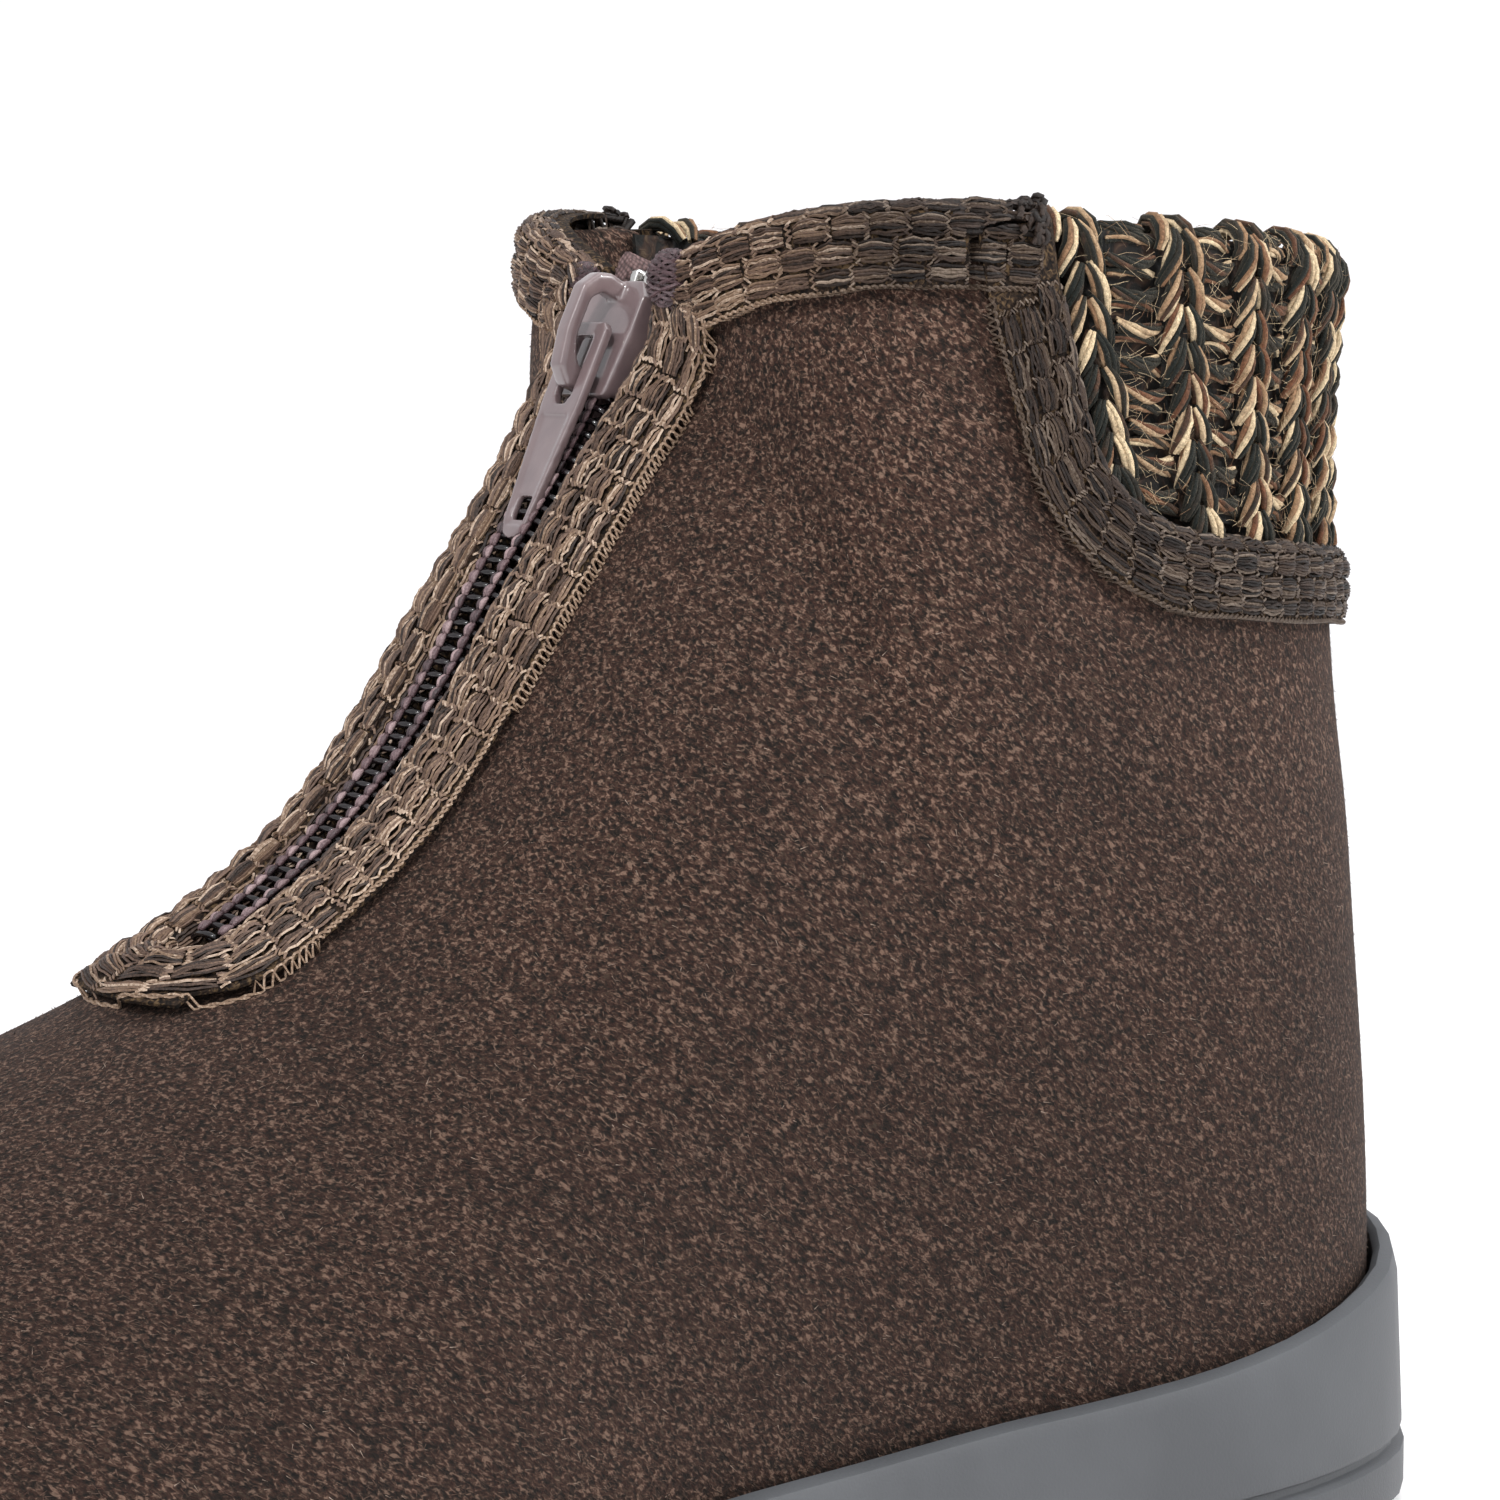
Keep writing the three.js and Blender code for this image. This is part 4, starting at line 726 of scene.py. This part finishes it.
WINDOW_EDGE = [
    (-62.0, 36.3, 138.5, 0.21, 0.98, 0.02), (-63.2, 36.6, 131.4, 0.15, 0.99, 0.00),
    (-65.0, 36.8, 124.1, 0.11, 0.99, -0.00), (-67.0, 37.0, 117.1, 0.07, 1.00, -0.00),
    (-69.2, 37.1, 113.4, 0.04, 1.00, -0.00), (-72.9, 37.2, 110.1, 0.00, 1.00, -0.00),
    (-77.7, 37.0, 107.7, -0.05, 1.00, 0.00), (-83.1, 36.6, 106.4, -0.09, 1.00, -0.00),
    (-91.5, 35.1, 105.5, -0.25, 0.97, 0.01), (-99.2, 32.6, 104.9, -0.37, 0.93, 0.02),
    (-105.9, 29.4, 104.3, -0.48, 0.88, 0.03), (-111.1, 26.1, 103.9, -0.61, 0.79, 0.04),
    (-115.0, 22.6, 103.5, -0.73, 0.68, 0.05), (-118.0, 18.9, 103.2, -0.83, 0.56, 0.05),
    (-120.3, 14.9, 102.9, -0.90, 0.43, 0.06), (-121.9, 10.6, 102.6, -0.96, 0.26, 0.06),
    (-122.8, 6.1, 102.4, -0.99, 0.12, 0.06), (-123.1, 1.6, 102.1, -1.00, 0.00, 0.06),
    (-122.8, -2.9, 102.4, -0.99, -0.12, 0.06), (-121.9, -7.3, 102.6, -0.96, -0.26, 0.06),
    (-120.3, -11.6, 102.9, -0.90, -0.43, 0.06), (-118.0, -15.6, 103.2, -0.83, -0.56, 0.05),
    (-115.0, -19.4, 103.5, -0.73, -0.68, 0.05), (-111.1, -22.8, 103.9, -0.61, -0.79, 0.04),
    (-105.9, -26.2, 104.3, -0.48, -0.88, 0.03), (-99.2, -29.2, 104.9, -0.36, -0.93, 0.01),
    (-91.5, -31.7, 105.5, -0.24, -0.97, 0.00), (-83.1, -33.2, 106.4, -0.09, -1.00, -0.02),
    (-77.7, -33.6, 107.7, -0.05, -1.00, -0.01), (-72.9, -33.7, 110.1, 0.01, -1.00, -0.02),
    (-69.2, -33.7, 113.4, 0.05, -1.00, -0.02), (-67.0, -33.6, 117.1, 0.07, -1.00, -0.01),
    (-65.0, -33.5, 124.1, 0.11, -0.99, -0.01), (-63.2, -33.3, 131.4, 0.15, -0.99, 0.00),
    (-62.0, -33.0, 138.5, 0.21, -0.98, 0.02),
]
TAPE_WIDTH = 7.2
CUSHION_LENGTH = 3.65
# Columns of cushions: first and last place across the tape from its sewn edge,
# threads, height of the cushions, and their shift along the tape in cushions
CUSHION_COLUMNS = [
    (1.0, 2.5, 5, 0.35, 0.15),
    (2.7, 4.8, 8, 0.75, 0.0),
    (4.95, 7.1, 8, 0.8, -0.32),
    (7.2, 9.0, 6, 0.3, 0.2),
    (9.2, 11.0, 5, 0.12, -0.15),
]


# Fold of the tape over the felt's edge, in mm
FOLD_RADIUS = 1.25
FOLD_ARC = 1.96
FOLD_LIFT = 0.4
BEND_REACH = 5.5
TABLE_STEP = 0.5
BLUR_ROWS = 12
BLUR_SPREAD = 4.5


def surface_tree(piece):
    mesh = piece.data
    return BVHTree.FromPolygons([v.co for v in mesh.vertices], [f.vertices for f in mesh.polygons])


felt_tree = surface_tree(upper)


class EdgeFrame:
    """Places on a tape that is folded over an edge of the felt. A row of its table
    is a point of the edge, a direction away from the edge, an outward one and the bend."""

    def __init__(self, table, turn, grounds):
        rows = smooth(table, 8)
        steps = np.linalg.norm(np.diff(rows[:, :3], axis=0), axis=1)
        reached = np.concatenate([[0], np.cumsum(steps)])
        self.length = reached[-1]
        self.stops = np.arange(0, self.length, TABLE_STEP)
        even = np.stack([np.interp(self.stops, reached, column) for column in rows.T], -1)
        edge, normal = even[:, :3], unit(even[:, 3:])
        self.first = edge[0] - edge[2]
        self.last = edge[-1] - edge[-3]
        ahead = unit(np.gradient(edge, axis=0))
        away = self.blur(unit(np.cross(ahead, normal) * turn))
        normal = self.blur(normal)
        normal = unit(normal - away * np.sum(normal * away, axis=-1, keepdims=True))
        probes = edge + away * BEND_REACH
        found = [felt_tree.find_nearest(Vector(point / 1000))[0] for point in probes]
        fall = np.array(found) * 1000 - edge - away * BEND_REACH
        bend = np.sum(fall * normal, axis=-1) / BEND_REACH**2
        self.table = np.hstack([edge, away, normal, self.blur(bend[:, None], False)])
        self.grounds = [surface_tree(ground) for ground in grounds] + [felt_tree]

    def blur(self, values, directions=True):
        weights = np.exp(-0.5 * (np.arange(-BLUR_ROWS, BLUR_ROWS + 1) / BLUR_SPREAD) ** 2)
        padded = np.pad(values, ((BLUR_ROWS, BLUR_ROWS), (0, 0)), mode="edge")
        result = [np.convolve(column, weights / weights.sum(), mode="valid") for column in padded.T]
        return unit(np.stack(result, -1)) if directions else np.stack(result, -1)

    def place(self, distance, across, lift):
        """across is measured on the tape, from its sewn edge over the fold to the inside."""
        distance, across, lift = np.broadcast_arrays(distance, across, lift)
        here = np.stack([np.interp(distance, self.stops, column) for column in self.table.T], -1)
        before = np.minimum(distance, 0)[..., None] * self.first
        after = np.maximum(distance - self.stops[-1], 0)[..., None] * self.last
        edge = here[..., :3] + before + after
        away, normal, bend = here[..., 3:6], here[..., 6:9], here[..., 9:]
        out = np.maximum(TAPE_WIDTH - across, 0)[..., None]
        turn = (np.clip(across - TAPE_WIDTH, 0, FOLD_ARC) / FOLD_RADIUS)[..., None]
        inside = np.maximum(across - TAPE_WIDTH - FOLD_ARC, 0)[..., None]
        tilted = unit(normal - away * 2 * bend * out)
        outwards = tilted * np.cos(turn) - away * np.sin(turn)
        centre = edge + away * out + normal * bend * out**2 + tilted * FOLD_LIFT
        point = centre + outwards * FOLD_RADIUS - normal * inside
        flat_points, flat_outwards = point.reshape(-1, 3), outwards.reshape(-1, 3)
        for k, (guess, direction) in enumerate(zip(flat_points, flat_outwards)):
            start = Vector((guess + direction * 2) / 1000)
            hits = [ground.ray_cast(start, Vector(-direction), 0.0045) for ground in self.grounds]
            hits = [hit for hit in hits if hit[0]]
            if hits:
                flat_points[k] = np.array(min(hits, key=lambda hit: hit[3])[0]) * 1000
        point = flat_points.reshape(point.shape)
        return point + outwards * lift[..., None], outwards


def cushions(edge_frame, starts, first, last, threads, height):
    """A column of bulging bundles of threads, with a loop across between two of them."""
    row = np.repeat(starts, threads)
    place = np.tile((np.arange(threads) + 0.5) / threads, len(starts))
    bed = np.repeat(rng.normal(0, 0.22, len(starts)), threads)
    part = np.linspace(0, 1, 6)[None, :]
    bulge = np.sin(math.pi * np.clip(part, 0.04, 0.96)) ** 0.6
    pinch = 0.72 + 0.28 * bulge
    centre = (first + last) / 2
    wave = rng.normal(0, 0.06, (len(row), 6))
    crown = 1 - 0.75 * (2 * place[:, None] - 1) ** 2
    across = centre + (place[:, None] - 0.5) * (last - first) * pinch + wave + 0 * part
    along = row[:, None] + bed[:, None] + CUSHION_LENGTH * (0.04 + 0.92 * part)
    lift = height * bulge * (0.35 + 0.65 * crown) + 0.02 + wave
    middle, outwards = edge_frame.place(along, across, lift)
    radius = (last - first) / threads * 0.58 * (0.62 + 0.38 * bulge) + 0 * across
    bundles = (middle, outwards, radius, 4, rng.random(len(row)))
    loops = threads + 1
    row = np.repeat(starts, loops)
    place = np.tile(np.arange(loops) / (loops - 1), len(starts))
    part = np.linspace(-0.5, 0.5, 3)[None, :]
    slant = rng.choice([-1.0, 1.0], (len(row), 1))
    across = first + place[:, None] * (last - first) + part * 0.35 * slant
    along = row[:, None] + part * 0.5 + rng.normal(0, 0.08, (len(row), 1))
    lift = 0.12 + height * 0.35 - 0.4 * part**2 + 0 * across
    middle, outwards = edge_frame.place(along, across, lift)
    return [bundles, (middle, outwards, 0.13 + 0 * across, 3, 0.5 + 0.5 * rng.random(len(row)))]


# Edge cord of two plies, in mm
CORD_ACROSS = 0.5
CORD_TURN = 1.5
PLY_RADIUS = 0.15


def edge_cord(edge_frame, skipped):
    total = edge_frame.length
    steps = np.arange(skipped + 0.3, total - skipped - 0.3, 0.25)[None, :]
    marks = np.arange(0, total + 3, 3)
    wander = np.interp(steps, marks, rng.normal(0, 0.1, len(marks)))
    plies = []
    for start in (0, 0.5):
        turn = (steps / CORD_TURN + start) * 2 * math.pi
        across = CORD_ACROSS + 0.17 * np.sin(turn) + wander
        middle, outwards = edge_frame.place(steps, across, 0.1 + 0.13 * np.cos(turn))
        plies.append((middle, outwards, PLY_RADIUS + 0 * across, 4, np.array([0.8])))
    return plies


# Ends of the front tape, in mm: a knot of stray threads over a bed of straight ones
KNOT_THREADS = 60
KNOT_RADIUS = 0.32
BED_THREADS = 11
BED_LENGTH = 9.5
BED_RADIUS = 0.42


def tape_ends(edge_frame):
    total = edge_frame.length
    knot = rng.normal(0, 0.9, (KNOT_THREADS, 1)) + 0.9
    knot[KNOT_THREADS // 2 :] = total - knot[KNOT_THREADS // 2 :]
    part = np.linspace(-0.5, 0.5, 5)[None, :]
    heading = rng.uniform(0, math.pi, (KNOT_THREADS, 1)) + 1.5 * part
    along = knot + 1.3 * part * np.cos(heading)
    across = rng.uniform(5.4, 9.4, (KNOT_THREADS, 1)) + 1.7 * part * np.sin(heading)
    lift = rng.uniform(0.3, 1.1, (KNOT_THREADS, 1)) - 1.5 * part**2
    middle, outwards = edge_frame.place(along, across, lift)
    radius = KNOT_RADIUS + 0 * lift
    batches = [(middle, outwards, radius, 5, 0.45 * rng.random(KNOT_THREADS))]
    for start in (-0.3, total - BED_LENGTH + 0.3):
        along = start + np.linspace(0, BED_LENGTH, 8)[None, :]
        across = np.linspace(5.6, 10.6, BED_THREADS)[:, None] + 0 * along
        middle, outwards = edge_frame.place(along, across, -0.2)
        radius = BED_RADIUS + 0 * across
        batches.append((middle, outwards, radius, 5, 0.3 * rng.random(BED_THREADS)))
    return batches


def braided(name, edge_frame, skipped):
    """skipped is the length at both ends that lies hidden under another tape."""
    total = edge_frame.length
    batches = []
    for first, last, threads, height, shift in CUSHION_COLUMNS:
        starts = (np.arange(-1, total / CUSHION_LENGTH + 1) + shift) * CUSHION_LENGTH
        starts = starts[(starts > skipped - 0.9) & (starts < total - skipped - 2.6)]
        batches += cushions(edge_frame, starts, first, last, threads, height)
    batches += edge_cord(edge_frame, skipped)
    if not skipped:
        batches += tape_ends(edge_frame)
    return tube_object(name, batches)


# Polyamide braid threads: olive-brown to mauve-brown by thread, with a silky
# glint along each one; painted shade makes them darker round the ankle than along the zip
material, tree, shader = new_finish("brown_polyamide_braid")
tone = add(tree, "Attribute", attribute_name="tone").outputs["Fac"]
coords = add(tree, "TexCoord").outputs["Object"]
fibres = noise(tree, coords, 3500.0, 3.0)
moved = stirred(tree, tone, fibres, 0.8)
tint = ramp(
    tree,
    moved,
    [(0.0, "#1d1511"), (0.3, "#3f3027"), (0.55, "#5b483d"), (0.8, "#705b49"), (1.0, "#a3907f")],
)
apart = add(tree, "SeparateXYZ", {"Vector": coords})
# Painted shade round the ankle and painted light along the zip, by place along the foot
painted_shading = mapped(tree, apart.outputs["X"], -0.046, -0.038, 0.36, 1.2)
toned = add(tree, "HueSaturation", {"Color": tint, "Value": painted_shading})
relief(tree, shader, fibres, 0.6, 0.0002)
connect(
    tree,
    shader,
    {"Base Color": toned.outputs["Color"], "Roughness": 0.55, "IOR": 1.5, "Specular IOR Level": 0.3},
)
braid_finish = material

# Ground of the braid: the same threads, with the shade between the cushions painted in
material, tree, shader = new_finish("braid_ground")
coords = add(tree, "TexCoord").outputs["Object"]
weave = noise(tree, coords, 1700.0, 4.0, Distortion=1.0)
tint = ramp(tree, weave, [(0.38, "#0c0806"), (0.52, "#251b14"), (0.66, "#54432f")])
relief(tree, shader, weave, 0.7, 0.0002)
connect(tree, shader, {"Base Color": tint, "Roughness": 0.85, "Specular IOR Level": 0.15})
ground_finish = material

grounds = []
for node in ("binding_front", "binding_knit"):
    ground = merged_copy(node, node + "_ground")
    finish_modifier(ground, "DISPLACE", strength=-0.00015, mid_level=0)
    settle(ground, ground_finish, "boot", 60)
    grounds.append(ground)
for name, table, turn, skipped in (
    ("binding_front_threads", FRONT_EDGE, -1, 0),
    ("binding_knit_threads", WINDOW_EDGE, 1, 6),
):
    braid = braided(name, EdgeFrame(table, turn, grounds), skipped)
    settle(braid, braid_finish, "boot", 80)


# Zip. A nylon coil zip: each tape is a woven strip sewn behind the binding, and
# carries a coil of stiff monofilament held down by a row of mauve stitches.

ZIP_LINE = [
    (11.4, 1.6, 70.7), (7.4, 1.6, 73.0), (2.9, 1.6, 76.0), (-1.4, 1.6, 79.2),
    (-5.3, 1.6, 82.8), (-9.1, 1.6, 86.8), (-12.7, 1.6, 91.3), (-16.1, 1.6, 96.1),
    (-19.2, 1.6, 101.2), (-22.7, 1.6, 106.3), (-26.3, 1.6, 111.3), (-29.5, 1.6, 116.1),
    (-32.3, 1.6, 120.7), (-34.6, 1.6, 125.0), (-36.3, 1.6, 128.6), (-37.6, 1.6, 132.4),
]
COIL_PITCH = 1.45
COIL_ACROSS = 1.6
COIL_HALF_WIDTH = 1.7
COIL_LEVEL = -1.2
COIL_HALF_HEIGHT = 0.8
WIRE_RADIUS = 0.34
CHAIN_TOP = 8.0

zip_rows = smooth(ZIP_LINE, 10)
zip_steps = np.concatenate([[0], np.cumsum(np.linalg.norm(np.diff(zip_rows, axis=0), axis=1))])


def zip_place(distance, across, lift):
    """distance runs up from the throat, across towards the outer side, lift outwards."""
    distance, across, lift = np.broadcast_arrays(distance, across, lift)
    here, above, below = [
        np.stack([np.interp(place, zip_steps, column) for column in zip_rows.T], -1)
        for place in (distance, distance + 0.5, distance - 0.5)
    ]
    ahead = unit(above - below)
    x, y, z = np.moveaxis(here, -1, 0)
    outwards = np.stack([ahead[..., 2], 0 * x, -ahead[..., 0]], -1)
    point = np.stack([x, y + across, z], -1) + outwards * lift[..., None]
    return point, outwards


chain_end = zip_steps[-1] - CHAIN_TOP
coils = []
for side, phase in ((1, 0.0), (-1, 0.5)):
    turns = np.arange(0.8 / COIL_PITCH, chain_end / COIL_PITCH, 1 / 12)[None, :]
    angle = (turns + phase) * 2 * math.pi
    across = side * (COIL_ACROSS + COIL_HALF_WIDTH * np.cos(angle))
    lift = COIL_LEVEL + COIL_HALF_HEIGHT * np.sin(angle)
    centres, outwards = zip_place(turns * COIL_PITCH, across, lift)
    sideways = np.stack([0 * across, side * np.cos(angle), 0 * across], -1)
    helix = unit(sideways + outwards * np.sin(angle)[..., None])
    coils.append((centres, helix, WIRE_RADIUS + 0 * across, 6, np.array([0.5])))
coil = tube_object("zip_coils", coils)
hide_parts("zip_chain")

# Dark nylon monofilament: smooth extruded plastic, nearly black, with sharp glints
material, tree, shader = new_finish("dark_nylon_monofilament")
coords = add(tree, "TexCoord").outputs["Object"]
clouds = noise(tree, coords, 300.0, 2.0)
tint = ramp(tree, clouds, [(0.35, "#0c090a"), (0.65, "#191315")])
connect(tree, shader, {"Base Color": tint, "Roughness": 0.16, "IOR": 1.53})
settle(coil, material, "boot", 80)

# Stitches over the coils, in mm: one for each turn, of two threads side by side
STITCH_ACROSS = 1.95
STITCH_APART = 0.24
STITCH_RADIUS = 0.33
rows = np.arange(1.2, chain_end, COIL_PITCH)
part = np.linspace(0, 1, 6)[None, :]
swell = np.sin(math.pi * np.clip(part, 0.08, 0.92)) ** 0.5
stitches = []
for across in (-STITCH_ACROSS, STITCH_ACROSS):
    for strand in (-STITCH_APART, STITCH_APART):
        along = rows[:, None] + COIL_PITCH * 0.96 * part
        beside = across + strand + 0.16 * np.sign(across) * (part - 0.5) + 0 * along
        centres, outwards = zip_place(along, beside, -0.28 + 0.3 * swell + 0 * along)
        radius = STITCH_RADIUS * swell + 0 * along
        stitches.append((centres, outwards, radius, 6, rng.random(len(rows))))
thread = tube_object("zip_stitches", stitches)

# Mauve polyester sewing thread: silky filaments, each strand of its own tone
material, tree, shader = new_finish("mauve_polyester_thread")
tone = add(tree, "Attribute", attribute_name="tone").outputs["Fac"]
coords = add(tree, "TexCoord").outputs["Object"]
fibres = noise(tree, coords, 4500.0, 3.0)
moved = stirred(tree, tone, fibres, 0.8)
tint = ramp(tree, moved, [(0.0, "#2c2023"), (0.5, "#5d474a"), (1.0, "#9c8585")])
relief(tree, shader, fibres, 0.7, 0.00015)
connect(tree, shader, {"Base Color": tint, "Roughness": 0.5})
thread_finish = material
settle(thread, material, "boot", 80)
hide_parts("zip_chain")

# Woven polyester tape, mauve-brown: a fine close weave of threads 0.5 mm wide
material, tree, shader = new_finish("woven_zip_tape")
coords = add(tree, "TexCoord").outputs["Object"]
turned = add(tree, "Mapping", {"Vector": coords, "Rotation": (0.6, 0.5, 0.4)}).outputs["Vector"]
threads = {"Vector": turned, "Scale": 2000.0, "Randomness": 0.35}
weave = add(tree, "TexVoronoi", threads).outputs["Distance"]
tint = ramp(tree, weave, [(0.1, "#7d6462"), (0.45, "#5a4442"), (0.8, "#251b1b")])
relief(tree, shader, weave, 0.8, 0.0003, invert=True)
connect(tree, shader, {"Base Color": tint, "Roughness": 0.75})
tape_finish = material
for side in ("outer", "inner"):
    tape = merged_copy("zip_tape_" + side, "woven_tape_" + side)
    rounded(tape, 0.0004, 40)
    settle(tape, tape_finish, "boot", 50)

# Ends of the zip's tapes: each is folded over at the collar and bound with thread
# into a small round knob. Centre of each knob and its half sizes, in mm
WINDINGS = 8
HALF_TURNS = 3.5
WINDING_RADIUS = 0.21
KNOBS = [((-37.0, 10.6, 132.6), (2.3, 2.4, 2.9)), ((-37.9, -5.6, 132.2), (1.6, 1.8, 2.2))]
windings = []
for centre, size in KNOBS:
    climb = np.linspace(0.04, 0.96, 90)[None, :] * math.pi
    level, girth = np.cos(climb), np.sin(climb)
    for strand in range(WINDINGS):
        for turns in (HALF_TURNS, -HALF_TURNS):
            angle = climb * turns + strand * math.pi / 4 + rng.normal(0, 0.03, climb.shape)
            ball = np.stack([girth * np.cos(angle), girth * np.sin(angle), level], -1)
            bulge = 1 + 0.05 * np.sin(climb * 22 * np.sign(turns) + strand * math.pi)[..., None]
            radius = WINDING_RADIUS + 0 * climb
            tone = np.array([rng.uniform(0, 0.4)])
            windings.append((centre + ball * size * bulge, ball, radius, 4, tone))
knobs = tube_object("bound_tape_ends", windings)
settle(knobs, thread_finish, "boot", 80)

# Bright nickel plate on the stops: thin, mirror-like, with the waves of pressed wire
material, tree, shader = new_finish("bright_nickel_plate")
coords = add(tree, "TexCoord").outputs["Object"]
waves = noise(tree, coords, 900.0, 2.0)
tint = ramp(tree, waves, [(0.3, "#b4b3b0"), (0.7, "#d9d8d4")])
relief(tree, shader, waves, 0.5, 0.0002)
connect(tree, shader, {"Base Color": tint, "Metallic": 1.0, "Roughness": 0.18})
for side in ("outer", "inner"):
    stop = merged_copy("top_stop_" + side, "nickel_stop_" + side)
    rounded(stop, 0.0003, 40, 3)
    settle(stop, material, "boot", 50)


# Slider and pull tab. Zinc castings painted mauve-taupe: the slider's bridge
# holds the tab by its wide eye, and the tab's free end has a slot.

# Painted zinc casting: thick glossy paint in mauve-taupe with faint darker clouds,
# a slight orange peel and long highlights on the rounded edges
material, tree, shader = new_finish("mauve_painted_zinc")
coords = add(tree, "TexCoord").outputs["Object"]
clouds = noise(tree, coords, 260.0, 3.0)
tint = ramp(tree, clouds, [(0.3, "#5f5051"), (0.7, "#6d5d5d")])
peel = noise(tree, coords, 1500.0, 2.0)
relief(tree, shader, peel, 0.15, 0.0001)
connect(
    tree,
    shader,
    {"Base Color": tint, "Roughness": 0.32, "IOR": 1.5, "Coat Weight": 1.0, "Coat Roughness": 0.06},
)
VOXEL = 0.00017
for node, name, body, rounding in (
    ("zip_slider", "cast_slider", "boot", 30),
    ("pull_tab", "cast_pull_tab", "pull_tab", 9),
):
    casting = merged_copy(node, name)
    finish_modifier(casting, "REMESH", mode="VOXEL", voxel_size=VOXEL)
    finish_modifier(casting, "SMOOTH", factor=0.5, iterations=rounding)
    settle(casting, material, body, 60)
